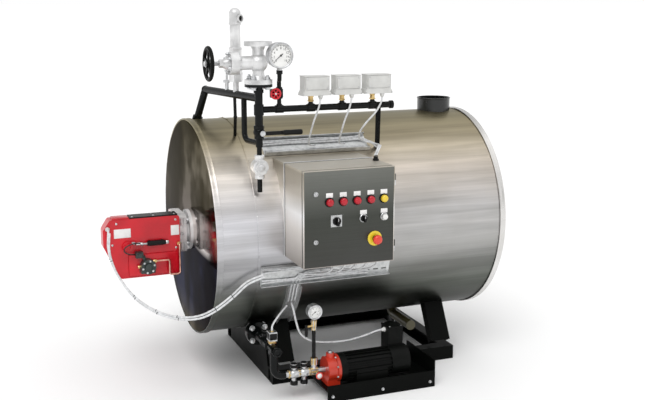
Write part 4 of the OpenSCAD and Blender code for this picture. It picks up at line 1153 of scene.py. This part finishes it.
    def screws(self) -> None:
        """Set the lid's and casing's screws, the flange's bolts, the boss and the gland."""
        screws = Shape()
        for x in self.lid_screw_xs:
            for y in self.lid_screw_ys:
                screws.lathe(at(x, y, self.top + 6), Way.UP, CASING_SCREW, 16)
        for x, z in self.casing_screws:
            screws.lathe(self.spot(x, z), Way.NEAR, CASING_SCREW, 16)
        flange = at(self.flange_x, 0, self.z)
        screws.bolt_ring(flange, Way.FRONT, radius=77, count=4, flats=17, tall=8, start=45)
        for dz in self.hinge_dzs:
            screws.bolt(at(*self.hinge, self.z + dz), Way.NEAR, flats=12, tall=5)
        screws.finish("burner_screws", ZINC)
        boss = Shape().lathe(self.spot(*self.boss, 12), Way.NEAR,
                             [(0, 5), (9, 4.4), (13, 2.4), (14, -0.5)], 24)
        boss.finish("burner_boss_cap", RED_PAINT)
        x, y, z = self.gland
        gland = Shape().hexagon(at(x, y, z), Way.NEAR, tall=6, corner=10.5, edge=0.8)
        gland.lathe(at(x, y - 6, z), Way.NEAR, [(9.5, 0), (9, 4), (6.5, 8), (4.7, 9)], 20)
        gland.finish("burner_gland", SWITCH_GREY)

    def build(self) -> None:
        """Add all the trim."""
        self.plates()
        self.ram()
        self.pump_fittings()
        self.hose()
        self.screws()


@dataclass
class SteamTrim:
    """Bolts, nuts and fittings of the steam valves."""

    stop_z: float = 1362.0
    stop_mid: float = 1448.0
    threads: int = 9
    pitch: float = 2.6
    safety: tuple = (-535.6, -274.0)
    safety_top: float = 1667.0
    collars: tuple = ((1410, 28.5), (1454, 27.5), (1498, 27.5), (1601, 26.5))
    outlet_way: Vector = field(default_factory=lambda: Vector((0.55, -0.83, 0.0)))
    drain_z: float = 1162.0
    trap_z: float = 1017.0
    vent: tuple = (-554, -194)
    vent_nut_z: float = 1349.0
    vent_handle_z: float = 1400.0

    def stop_valve(self) -> None:
        """Bolt the stop valve's lower flange and bonnet, and lock its wheel."""
        x, y, z, mid = STEAM_X, STEAM_Y, self.stop_z, self.stop_mid
        bolts = Shape()
        bolts.bolt_ring(at(x, y, z + 18), Way.UP, radius=42.5, count=4, flats=19, tall=10, start=45, stud=7)
        bolts.bolt_ring(at(x, y, z - 12), Way.DOWN, radius=42.5, count=4, flats=19, tall=9, start=45)
        bolts.bolt_ring(at(x - 124, y, mid), Way.FRONT, radius=38, count=6, flats=13, tall=7, stud=5)
        bolts.bolt_ring(at(x - 88, y, mid), Way.REAR, radius=38, count=6, flats=13, tall=7)
        bolts.finish("stop_valve_bolts", ZINC)
        nut = Shape().bolt(at(x - 219, y, mid), Way.FRONT, flats=20, tall=6)
        nut.finish("handwheel_nut", ZINC, Body.HANDWHEEL)
        threads = Shape()
        for i in range(self.threads):
            threads.ring(at(x - 170 - i * self.pitch, y, mid), Way.FRONT, 8.0, 0.9, 24)
        threads.finish("stop_valve_thread", ZINC, Body.HANDWHEEL)

    def safety_valve(self) -> None:
        """Add the safety valve's collars and open outlet, with a black disc as painted shade in the outlet's
        bore.
        """
        valve = Shape()
        for z, r in self.collars:
            collar = [(r - 4, -4), (r - 1, -4), (r, -2.6), (r, 2.6), (r - 1, 4), (r - 4, 4)]
            valve.lathe(at(*self.safety, z), Way.UP, collar, 40, closed=True)
        outlet = at(*self.safety, self.safety_top - 44)
        valve.lathe(outlet, self.outlet_way,
                    [(14, 14), (15, 27), (17.5, 28), (17.5, 33), (12, 33), (12, 22), (0, 21)], 32)
        valve.finish("safety_valve_collars", SILVER_CAST)
        # Black disc in the outlet's bore: painted shade
        bore_shade = Shape().drum(outlet + self.outlet_way * 0.0225, outlet + self.outlet_way * 0.0255, 0.0118)
        bore_shade.finish("safety_valve_bore_shade", BLACK_PAINT)

    def drain(self) -> None:
        """Lock the drain lever, pull on its sleeve and bolt the trap's cover."""
        x, y, z = STEAM_X, STEAM_Y, self.drain_z
        nut = Shape().bolt(at(x, y - 50, z), Way.NEAR, flats=17, tall=6, stud=3)
        nut.finish("drain_lever_nut", ZINC, Body.LEVER)
        sleeve = Shape().lathe(at(x + 92, y - 47, z), Way.REAR,
                               [(9.2, 0), (10.4, 1), (11.4, 8), (10.6, 30), (11.4, 62), (11.6, 74), (9.6, 80),
                                (0, 81)], 28)
        sleeve.finish("drain_lever_sleeve", BLACK_PLASTIC, Body.LEVER)
        z = self.trap_z
        trap = Shape().bolt_ring(at(x, y - 22, z), Way.NEAR, radius=28, count=4, flats=8, tall=4, start=45)
        trap.lathe(at(x, y - 34, z), Way.NEAR, [(0, 7), (9, 6.4), (13, 4), (14, -0.5)], 24)
        trap.hexagon(at(x, y, z - 36), Way.DOWN, tall=14, corner=21.5, edge=1.2)
        trap.hexagon(at(x, y, z + 36), Way.UP, tall=14, corner=21.5, edge=1.2)
        trap.finish("steam_trap_cover", SILVER_CAST)

    def vent_cock(self) -> None:
        """Give the vent cock its little tee handle."""
        x, y = self.vent
        z = self.vent_handle_z
        handle = Shape().drum(at(x - 9, y, z), at(x + 9, y, z), 0.0045, sides=14, edge=0.0008)
        handle.hexagon(at(x, y, self.vent_nut_z), Way.UP, tall=11, corner=16)
        handle.finish("vent_cock_handle", ZINC)

    def build(self) -> None:
        """Add all the trim."""
        self.stop_valve()
        self.safety_valve()
        self.drain()
        self.vent_cock()


@dataclass
class DialGauge:
    """A round dial gauge with bezel, card, scale and pointer."""

    name: str
    x: float
    y: float
    z: float
    radius: float
    top_number: int
    reading: float
    sweep: float = 270.0
    long_stroke: tuple = (0.16, 0.00042)
    short_stroke: tuple = (0.09, 0.00024)
    cap_share: float = 0.7

    def spot(self, share: float, reach: float, proud: float) -> Vector:
        """Point in metres at a share of the scale, at a reach from the middle and proud of the case."""
        a = math.radians(90 + self.sweep / 2 - share * self.sweep)
        return at(self.x + reach * math.cos(a), self.y - proud, self.z + reach * math.sin(a))

    def case(self) -> None:
        """Turn the bezel and lay the card."""
        r = self.radius
        middle = at(self.x, self.y, self.z)
        bezel = Shape().lathe(middle, Way.NEAR,
                              [(r - 5, 0.2), (r + 0.6, -6), (r + 1.2, -2), (r + 1.2, 4), (r - 0.6, 6.4),
                               (r - 4.4, 6.8), (r - 6, 5.2), (r - 6.4, 1.4)], 64, closed=True)
        bezel.finish(f"{self.name}_bezel", ZINC)
        card = Shape().drum(middle, at(self.x, self.y - 1.6, self.z), (r - 5) / 1000, sides=64)
        card.finish(f"{self.name}_card", DIAL)

    def scale(self) -> None:
        """Print the strokes, numbers and pointer."""
        r = self.radius - 9
        ink = Shape()
        strokes = self.top_number * 5
        for i in range(strokes + 1):
            share = i / strokes
            long, wide = self.short_stroke if i % 5 else self.long_stroke
            outer, inner = self.spot(share, r, 1.8), self.spot(share, r * (1 - long), 1.8)
            ink.drum(outer, inner, wide * self.radius / 30, sides=4)
        tip, tail = self.spot(self.reading, r * 0.88, 3.0), self.spot(self.reading, -r * 0.25, 3.0)
        ink.drum(tail, tip, 0.0016 * self.radius / 52, 0.0004, sides=6)
        ink.lathe(at(self.x, self.y - 1.6, self.z), Way.NEAR,
                  [(0, 3.4), (r * 0.08, 3.0), (r * 0.1, 2.0), (r * 0.1, 0)], 20)
        ink.finish(f"{self.name}_scale", DIAL_INK)
        for number in range(0, self.top_number + 1, 2):
            self.figure(number, self.spot(number / self.top_number, r * 0.68, 1.9), r * 0.22)

    def figure(self, number: int, spot: Vector, tall: float) -> None:
        """Print one number on the dial.

        Args:
            number: the number.
            spot: its middle.
            tall: its height, in millimetres.
        """
        words = bpy.data.curves.new("figure", "FONT")
        words.body = str(number)
        words.align_x = "CENTER"
        words.align_y = "CENTER"
        words.size = tall / self.cap_share / 1000
        holder = bpy.data.objects.new("figure", words)
        mesh = bpy.data.meshes.new_from_object(holder)
        bpy.data.objects.remove(holder)
        bpy.data.curves.remove(words)
        mesh.transform(Matrix.Translation(spot) @ Matrix.Rotation(math.radians(90), 4, "X"))
        mesh.name = f"{self.name}_figure_{number}"
        piece = bpy.data.objects.new(mesh.name, mesh)
        bpy.context.scene.collection.objects.link(piece)
        piece.data.materials.clear()
        piece.data.materials.append(DIAL_INK.material())
        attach(piece, Body.BOILER.value)

    def build(self) -> None:
        """Build the gauge's face."""
        self.case()
        self.scale()
        log.info("%s dressed", self.name)


@dataclass
class SwitchTrim:
    """Lids, screws and glands of the pressure switches, and nuts of the gauge cock."""

    xs: tuple = (-266.0, -124.0, 18.0)
    z: float = 1307.0
    wide: float = 126.0
    tall: float = 80.0
    deep: float = 62.0
    gland_dx: float = 36.0
    gland_y: float = -484.0
    cock_nuts: tuple = ((-406, STEAM_Y, 1298, 8, 14.5), (-406, STEAM_Y, 1337, 9, 14),
                        (-427, -530, 1404, 16, 13.5))
    cock_wheel: tuple = (-430, -490, 1321)

    def switches(self) -> None:
        """Dress the three switches."""
        lids, screws, glands, nuts = Shape(), Shape(), Shape(), Shape()
        y, z, wide, top = STEAM_Y, self.z, self.wide, self.z + self.tall
        face = y - self.deep / 2
        for x in self.xs:
            left = x + 18 - wide / 2
            lids.block(at(left + 11, face - 3.2, z + 25), at(left + wide - 11, face + 0.4, z + 77), 0.0025)
            lids.block(at(left + 6, face - 1.6, top - 1), at(left + wide - 6, y + 32.4, top + 2.2), 0.0012)
            for dx in (18, wide - 18):
                for dz in (31, 71):
                    spot = at(left + dx, face - 3.0, z + dz)
                    screws.lathe(spot, Way.NEAR, [(0, 1.8), (2.4, 1.5), (3.4, 0)], 12)
            for dx in (3.5, wide - 3.5):
                screws.lathe(at(left + dx, face, z + 5), Way.NEAR, [(0, 2.0), (2.0, 1.6), (2.8, 0)], 12)
            gland = x + self.gland_dx
            glands.hexagon(at(gland, self.gland_y, z - 1), Way.DOWN, tall=6, corner=11.2, edge=0.8)
            glands.lathe(at(gland, self.gland_y, z - 7), Way.DOWN, [(9, 0), (8.4, 3), (6, 8), (3.8, 9)], 20)
            nuts.hexagon(at(x, y, z - 26), Way.UP, tall=6, corner=13.5, edge=0.8)
            nuts.lathe(at(x, y, z - 6), Way.UP, [(11.4, 0), (13, 1), (13, 4.6), (11.4, 5.6)], 24, closed=True)
        lids.finish("switch_lids", SWITCH_GREY)
        screws.finish("switch_screws", ZINC)
        glands.finish("switch_glands", SWITCH_GREY)
        nuts.finish("switch_nuts", BRASS)

    def cock(self) -> None:
        """Put the nuts on the gauge cock and on its wheel."""
        cock = Shape()
        for x, y, z, tall, corner in self.cock_nuts:
            cock.hexagon(at(x, y, z), Way.UP, tall, corner)
        cock.finish("gauge_cock_nuts", PIPE_PAINT)
        cap = Shape().lathe(at(*self.cock_wheel), Way.NEAR, [(0, 4.6), (3.5, 4.2), (5, 2.6), (5.2, 0)], 16)
        cap.finish("gauge_cock_nut", ZINC, Body.COCK_WHEEL)

    def build(self) -> None:
        """Add all the trim."""
        self.switches()
        self.cock()


@dataclass
class PanelTrim:
    """Lamps, plates, locks, bezels and edges of the control panel."""

    face: float = -725.0
    back: float = -495.0
    lip: float = 3.0
    drip_ys: tuple = (-701.4, -660.0)
    bead: tuple = (-3.0, 4.0, 3.0)
    gasket: tuple = (-6.0, -3.0, 0.8)
    lamps: tuple = (-89.0, -29.0, 32.0, 93.0, 152.0)
    lamp_dz: float = 69.0
    main_switch: tuple = (-59, -10)
    selector: tuple = (61, -8)
    start: tuple = (154, -8)
    stop: tuple = (112, -97)
    plate_half: float = 15.0
    lamp_plates: tuple = (88, 107)
    control_plates: tuple = (8, 26)
    locks_at: tuple = ((-148.5, 106), (-148.5, -92))
    top_gland: tuple = (-13, -572)

    def door(self, dx: float, dz: float, proud: float = 0.0) -> Vector:
        """Point in metres on the door, from its middle and proud of its face."""
        return at(PANEL_X + dx, self.face - proud, PANEL_Z + dz)

    def edges(self) -> None:
        """Fold a bright lip around the door and a drip lip over the box."""
        lip = Shape()
        h, w = PANEL_HALF + 0.6, self.lip
        for low, high in (((-h, -h), (-h + w, h)), ((h - w, -h), (h, h)), ((-h + w, h - w), (h - w, h)),
                          ((-h + w, -h), (h - w, -h + w))):
            lip.block(self.door(*low, 0.9), self.door(*high, -11.5), 0.0008)
        lip.finish("door_lip", PANEL_SHEET, Body.DOOR)
        front, back = self.drip_ys
        top = PANEL_Z + PANEL_HALF
        box = Shape().block(at(PANEL_X - h, front, top - 0.4), at(PANEL_X + h, back, top + 1.4), 0.0006)
        box.finish("box_top_lip", PANEL_SHEET)

    def joint(self) -> None:
        """Run a bright bead, which also stands as a painted highlight line, with a dark gasket beside it,
        which also stands as the joint's painted shadow line, round the joint of box and console.
        """
        # Black gasket strip that is also the joint's painted shadow line; pale bead that is also a painted
        # highlight line
        for name, look, slot, (near, far, proud) in (
                ("panel_joint_bead", SILVER_CAST, "stainless", self.bead),
                ("panel_gasket_shadow", BLACK_PLASTIC, "black_plastic", self.gasket)):
            foot, out = PANEL_HALF - 0.4, PANEL_HALF + proud
            front, back = self.back + near, self.back + far
            strip = Shape()
            for left, right in ((-out, -foot), (foot, out)):
                strip.block(at(PANEL_X + left, front, PANEL_Z - PANEL_HALF),
                            at(PANEL_X + right, back, PANEL_Z + foot), 0.0003)
            strip.block(at(PANEL_X - out, front, PANEL_Z + foot),
                        at(PANEL_X + out, back, PANEL_Z + out), 0.0003)
            strip.finish(name, look, slot=slot)

    def lamp_lenses(self) -> None:
        """Turn the five lenses with their bezels and blank plates."""
        bezels, plates = Shape(), Shape()
        near = Way.NEAR.vector
        for i, dx in enumerate(self.lamps):
            foot = self.door(dx, self.lamp_dz)
            lens = Shape().lathe(foot, near,
                                 [(0, 20), (6, 19.6), (11, 18), (14, 15.4), (15, 12), (15, 0.2)], 40)
            for k in range(12):
                a = math.radians(30 * k)
                rib = foot + Vector((math.cos(a), 0, math.sin(a))) * 0.0148
                lens.drum(rib + near * 0.001, rib + near * 0.0125, 0.0011, sides=8)
            look = YELLOW_LENS if i == len(self.lamps) - 1 else RED_LENS
            lens.finish(f"lamp_lens_{i + 1}", look, Body.DOOR, replaces=("indicator_lamps",))
            bezels.lathe(foot, near, [(15.2, 0.1), (20, 0.1), (20, 3), (18.4, 5), (15.2, 5)], 40, closed=True)
        spans = [(dx, self.lamp_plates) for dx in self.lamps]
        spans += [(dx, self.control_plates) for dx in (self.selector[0], self.start[0])]
        for dx, (low, high) in spans:
            left, right = dx - self.plate_half, dx + self.plate_half
            plates.block(self.door(left, low, 1.4), self.door(right, high, -0.2), 0.0005)
        bezels.finish("lamp_bezels", BLACK_PLASTIC, Body.DOOR)
        plates.finish("legend_plates", PLATE, Body.DOOR)

    def knobs(self) -> None:
        """Ring the selector and the button, and mark the two knobs."""
        bezels = Shape()
        bezels.lathe(self.door(*self.selector), Way.NEAR,
                     [(13.4, 0.1), (17.5, 0.1), (17.5, 2.4), (15.5, 4.4), (13.4, 4.4)], 40, closed=True)
        bezels.lathe(self.door(*self.start), Way.NEAR,
                     [(12.6, 0.1), (16.5, 0.1), (16.5, 3.4), (14.6, 5.4), (12.6, 5.4)], 40, closed=True)
        x, z = self.main_switch
        for dx in (-20, 20):
            for dz in (-20, 20):
                bezels.lathe(self.door(x + dx, z + dz, 3), Way.NEAR, [(0, 1.4), (1.6, 1.1), (2.2, -0.3)], 10)
        bezels.finish("control_bezels", ZINC, Body.DOOR)
        for name, (x, z), front, reach, body in (
                ("main_switch_mark", self.main_switch, 26, 15, Body.MAIN_SWITCH),
                ("selector_mark", self.selector, 23, 11, Body.SELECTOR)):
            low, high = self.door(x - 1, z + 2, front + 0.5), self.door(x + 1, z + reach, front - 0.3)
            Shape().block(low, high, 0.0002).finish(name, PLATE, body)

    def buttons(self) -> None:
        """Turn the stop button with its disc and stem, and the start button's cap."""
        stop = self.door(*self.stop)
        disc = Shape().lathe(stop, Way.NEAR,
                             [(11.4, 0.4), (31, 0.2), (31, 4), (29, 5.2), (24, 5.6), (13, 5.6),
                              (11.4, 4.6)], 56, closed=True)
        disc.finish("estop_disc", YELLOW_PLASTIC, Body.DOOR, replaces=("estop_collar",))
        dome = Shape().lathe(stop, Way.NEAR,
                             [(0, 45), (8, 44.4), (14, 42.4), (18, 39), (20, 34.5), (20, 29), (18, 24),
                              (13.5, 20.5), (11, 18), (0, 18)], 48)
        dome.finish("estop_mushroom", RED_PLASTIC, Body.EMERGENCY_STOP,
                    replaces=("estop_button",))
        stem = Shape().lathe(stop, Way.NEAR,
                             [(0, 18), (10.8, 18), (10.8, 10), (11, 8), (11, -11), (10, -12), (0, -12)], 40)
        stem.finish("estop_stem", BLACK_PLASTIC, Body.EMERGENCY_STOP,
                    replaces=("estop_button",))
        cap = Shape().lathe(self.door(*self.start), Way.NEAR,
                            [(0, 19), (7, 18.6), (10.4, 17.4), (12, 15), (12, 9), (4, 9), (4, -10),
                             (0, -10)], 40)
        cap.finish("start_cap", WHITE_PLASTIC, Body.START_BUTTON, replaces=("push_button",))

    def locks(self) -> None:
        """Set the two quarter-turn locks."""
        near = Way.NEAR.vector
        locks = Shape()
        for place in self.locks_at:
            foot = self.door(*place)
            locks.lathe(foot, near, [(11, 0), (11, 2.4), (9.4, 5), (6.4, 6), (5.6, 3), (0, 3)], 40)
            locks.drum(foot + near * 0.002, foot + near * 0.0075, 0.0036, sides=3)
        locks.finish("door_locks", ZINC, Body.DOOR)

    def glands(self) -> None:
        """Put black nuts on the panel's glands."""
        top = at(*self.top_gland, PANEL_Z + PANEL_HALF)
        nuts = Shape().hexagon(top, Way.UP, tall=9, corner=13.5)
        nuts.lathe(top, Way.UP, [(9.6, 9), (9.6, 19), (8, 23.4), (0, 24.4)], 24)
        for x in PANEL_GLAND_XS:
            foot = at(x, PANEL_GLAND_Y, PANEL_Z - PANEL_HALF)
            nuts.hexagon(foot, Way.DOWN, tall=7, corner=11.5, edge=0.8)
            nuts.lathe(foot, Way.DOWN, [(8.6, 7), (8.6, 12), (6, 16.4), (3.8, 17)], 20)
        nuts.finish("panel_gland_nuts", BLACK_PLASTIC)

    def build(self) -> None:
        """Dress the whole panel."""
        self.edges()
        self.joint()
        self.lamp_lenses()
        self.knobs()
        self.buttons()
        self.locks()
        self.glands()


@dataclass
class TrayTrim:
    """Cables that lie in the trays or lead from them to the panel's top gland."""

    radius: float = 489.2
    upper: float = 37.55
    lower: float = 106.03
    cable: float = 4.2
    above: float = 7.0
    wave: tuple = (0.0, 2.0, -2.0, 1.5, -1.0)
    upper_xs: tuple = (-424, -300, -180, -60, 40)
    upper_lanes: tuple = (-34, -24, 14, 24, 34)
    lower_xs: tuple = (-494, -380, -260, -120, 0)
    lower_lanes: tuple = (-32, -22, 20, 30)
    branch_xs: tuple = (-356, -341, -326)
    branch_bend: tuple = ((105, 150), (105.5, 70), (108, 20), (113, 0), (119, 0), (124, 0))

    def spot(self, angle: float, x: float, across: float, above: float) -> Vector:
        """Point in a tray.

        Args:
            angle: the tray's angle from the top, in degrees.
            x: place along the boiler, in millimetres.
            across: place across the tray, in millimetres.
            above: height above the jacket, in millimetres.

        Returns:
            The point in metres.
        """
        a = math.radians(angle)
        reach = self.radius + above
        y = across * math.cos(a) - reach * math.sin(a)
        return at(x, y, AXIS_Z + across * math.sin(a) + reach * math.cos(a))

    def strips(self, name: str, angle: float, xs: tuple, lanes: tuple) -> None:
        """Lay a tray's cables along it, each a little wavy.

        Args:
            name: name of the pieces, without their numbers.
            angle: the tray's angle from the top, in degrees.
            xs: places along the boiler, in millimetres.
            lanes: places of the cables across the tray, in millimetres.
        """
        for i, lane in enumerate(lanes):
            waves = [self.wave[(k + i) % len(self.wave)] for k in range(len(xs))]
            points = [self.spot(angle, x, lane + wave, self.above) for x, wave in zip(xs, waves)]
            Cord(f"{name}_{i + 1}", points, self.cable, lay="taut").build()

    def gland_lead(self, i: int, dx: float) -> None:
        """Lead one cable from the upper tray's end to the panel's top gland.

        Args:
            i: its number, from 0.
            dx: its place beside the others, in millimetres.
        """
        bends = ((20, 24 - 10 * i, 8), (58, 14 - 10 * i, 12), (82, -26, 22), (74, -90, 60))
        points = [self.spot(self.upper, x + dx, across, above) for x, across, above in bends]
        points += [at(16 + dx, -550, 1090), at(-15 + dx, -573 + dx / 2, 1054)]
        Cord(f"gland_lead_{i + 1}", points, self.cable - 1).build()

    def build(self) -> None:
        """Lay the cables of both trays, of the branch and of the panel's top gland."""
        self.strips("upper_tray_lead", self.upper, self.upper_xs, self.upper_lanes)
        self.strips("lower_tray_lead", self.lower, self.lower_xs, self.lower_lanes)
        for i, x in enumerate(self.branch_xs):
            points = [self.spot(angle, x + dx, 0, self.above + 1) for angle, dx in self.branch_bend]
            Cord(f"branch_lead_{i + 1}", points, self.cable, lay="taut").build()
        for i, dx in enumerate((-6, 4)):
            self.gland_lead(i, dx)


@dataclass
class FeedTrim:
    """Bolts, knobs, nuts and covers of the feed line, pump and motor."""

    x: float = -470.0
    y: float = -550.0
    line_z: float = 118.0
    inlet_z: float = 240.0
    flange_ys: tuple = (-334.0, -300.0)
    check_y: float = -354.0
    check_cap_y: float = -432.0
    coil_y: float = -526.0
    valves: tuple = (-380.0, -334.0)
    tee_x: float = -288.0
    gauge_cock_z: float = 323.0
    pump_face: float = -193.5
    pump_plug: tuple = (-212, 190)
    motor_end: float = 150.5
    terminal: tuple = (70.5, -547, 258, 144.5, -463, 268.4)
    terminal_screws: tuple = ((80, -538, 268), (80, -472, 268), (135, -538, 268), (135, -472, 268))
    motor_gland: tuple = (66, -505, 247)

    def inlet(self) -> None:
        """Bolt the inlet's flanges and dress its check valve and solenoid."""
        x, z = self.x, self.inlet_z
        near, far = self.flange_ys
        bolts = Shape()
        bolts.bolt_ring(at(x, near, z), Way.NEAR, radius=41, count=4, flats=19, tall=10, start=45, stud=6)
        bolts.bolt_ring(at(x, far, z), Way.FAR, radius=41, count=4, flats=19, tall=9, start=45)
        bolts.finish("feed_flange_bolts", ZINC)
        union = Shape().lathe(at(x, self.y - 48, z), Way.NEAR,
                              [(17, 0), (17, 4), (15, 6), (11, 6), (10, 2), (0, 2)], 32)
        union.finish("feed_union_cap", PIPE_PAINT)
        check = Shape().lathe(at(x, self.check_y, z), Way.NEAR,
                              [(17, 0), (22, 2), (24, 9), (24, 26), (21.5, 30), (21.5, 58), (25.5, 64),
                               (25.5, 92), (21.5, 98), (21.5, 124), (23.5, 128), (23.5, 142), (17, 145)], 36)
        check.hexagon(at(x, self.check_cap_y, z + 18), Way.UP, tall=18, corner=16.5, edge=1.2)
        check.finish("feed_check_valve", PIPE_PAINT)
        y = self.coil_y
        coil = Shape().block(at(x - 18, y - 21, z + 38), at(x + 18, y + 21, z + 70), 0.004)
        coil.finish("feed_solenoid_coil", BLACK_PLASTIC)
        base = Shape().hexagon(at(x, y, z + 20), Way.UP, tall=14, corner=18.5, edge=1.2)
        base.hexagon(at(x, y, z + 70), Way.UP, tall=6, corner=8, edge=0.6)
        base.finish("feed_solenoid_base", BRASS)

    def line(self) -> None:
        """Dress the line's valves and gauge tee with bodies, knobs and nuts."""
        y, z, tee = self.y, self.line_z, self.tee_x
        knobs, bodies, brass = Shape(), Shape(), Shape()
        for x in self.valves:
            knobs.lathe(at(x, y, z + 27), Way.UP,
                        [(9, 0), (16.6, 2), (17.4, 8), (16.6, 16), (12, 20.4), (0, 21)], 28)
            knobs.lathe(at(x, y, z - 32), Way.DOWN,
                        [(9, 0), (16.6, 1), (17.4, 8), (16.6, 17), (12, 21), (0, 21.4)], 28)
            bodies.lathe(at(x - 18, y, z), Way.REAR,
                         [(18.2, 4), (19.4, 6), (20.5, 18), (19.4, 30), (18.2, 32)], 32, closed=True)
            for side in (-22, 22):
                brass.hexagon(at(x + side - 4, y, z), Way.REAR, tall=8, corner=18.5)
        knobs.finish("feed_valve_knobs", BLACK_PLASTIC)
        bodies.finish("feed_valve_bodies", ZINC)
        cock = self.gauge_cock_z
        brass.hexagon(at(tee, y, z + 29.6), Way.UP, tall=30.8, corner=16.6)
        brass.hexagon(at(tee - 16.4, y, z), Way.REAR, tall=32.8, corner=18.8)
        brass.hexagon(at(tee, y, cock - 18.4), Way.UP, tall=44.8, corner=13.1)
        brass.drum(at(tee - 34.5, y, cock), at(tee, y, cock), 0.0054, sides=16)
        brass.finish("feed_line_nuts", BRASS)
        pipe = Shape().lathe(at(tee - 34, y, cock + 7), Way.DOWN,
                             [(0, -1), (6.6, 0), (6.6, 50), (5, 56), (0, 56.4)], 20)
        pipe.drum(at(tee, y, z + 60.6), at(tee, y, cock - 19), 0.0084, sides=24)
        pipe.finish("lower_gauge_pipe", BLACK_PLASTIC)

    def vent_wheel(self) -> None:
        """Add the pump's little red vent wheel with its pale hub."""
        x, z = self.tee_x + 12, self.line_z - 12
        wheel = Shape().ring(at(x, self.y - 37, z), Way.NEAR, 13.0, 3.2, 32)
        wheel.finish("vent_wheel_rim", RED_PLASTIC)
        hub = Shape().lathe(at(x, self.y - 39.6, z), Way.NEAR, [(0, 2.4), (5, 2.0), (8.5, 1.0), (10, 0)], 24)
        hub.finish("vent_wheel_hub", PLATE)

    def pump(self) -> None:
        """Bolt the pump's head and dress the motor."""
        head = at(self.pump_face, self.y, self.line_z)
        bolts = Shape().bolt_ring(head, Way.FRONT, radius=59.4, count=8, flats=8, tall=5, start=22.5)
        x, z = self.pump_plug
        bolts.bolt(at(x, self.y, z), Way.UP, flats=17, tall=8)
        for place in self.terminal_screws:
            bolts.lathe(at(*place), Way.UP, [(0, 2), (2.6, 1.6), (3.6, 0)], 12)
        bolts.finish("pump_bolts", ZINC)
        motor = Shape()
        for r in (14, 26, 38, 50):
            motor.ring(at(self.motor_end, self.y, self.line_z), Way.REAR, r, 1.6, 40)
        for back in (86, 0.5):
            motor.ring(at(self.motor_end - back, self.y, self.line_z), Way.REAR, 63.4, 1.4, 56)
        motor.block(at(*self.terminal[:3]), at(*self.terminal[3:]), 0.003)
        motor.finish("motor_trim", IRON_CAST)
        foot = at(*self.motor_gland)
        gland = Shape().hexagon(foot, Way.REAR, tall=6.5, corner=11.5, edge=0.8)
        gland.lathe(foot, Way.FRONT, [(9, 0), (8.6, 6), (6.4, 11), (4.8, 12)], 20)
        gland.finish("motor_gland", WHITE_PLASTIC)

    def build(self) -> None:
        """Dress the whole feed group."""
        self.inlet()
        self.line()
        self.vent_wheel()
        self.pump()


@dataclass
class BaseTrim:
    """Bolts of the pump's tray."""

    tray_front: float = -645.0
    tray_xs: tuple = (-236.0, 0.0, 232.0)
    apron_mid: float = 26.0

    def build(self) -> None:
        """Set the bolts."""
        tray = Shape()
        for x in self.tray_xs:
            tray.bolt(at(x, self.tray_front, self.apron_mid), Way.NEAR, flats=10, tall=5)
        tray.finish("tray_bolts", ZINC)


def dress_nodes() -> None:
    """Give every carried-over node its finish."""
    for look, names in FINISH_NODES:
        for name in names.split():
            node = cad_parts[name]
            node.data.materials.clear()
            node.data.materials.append(look.material())


def main() -> None:
    """Build the studio, the cables and the dressed pieces in order."""
    Studio().build()
    Cables().build()
    dress_nodes()
    steam_gauge = DialGauge("steam_gauge", x=-427.0, y=-548.0, z=1480.0, radius=52.0, top_number=16,
                            reading=0.02)
    feed_gauge = DialGauge("feed_gauge", x=-288.0, y=-565.0, z=389.0, radius=32.0, top_number=10,
                           reading=0.02)
    for group in (ShellTrim(), BurnerTrim(), SteamTrim(), SwitchTrim(), steam_gauge, feed_gauge, PanelTrim(),
                  TrayTrim(), FeedTrim(), BaseTrim()):
        group.build()


if __name__ == "__main__":
    main()
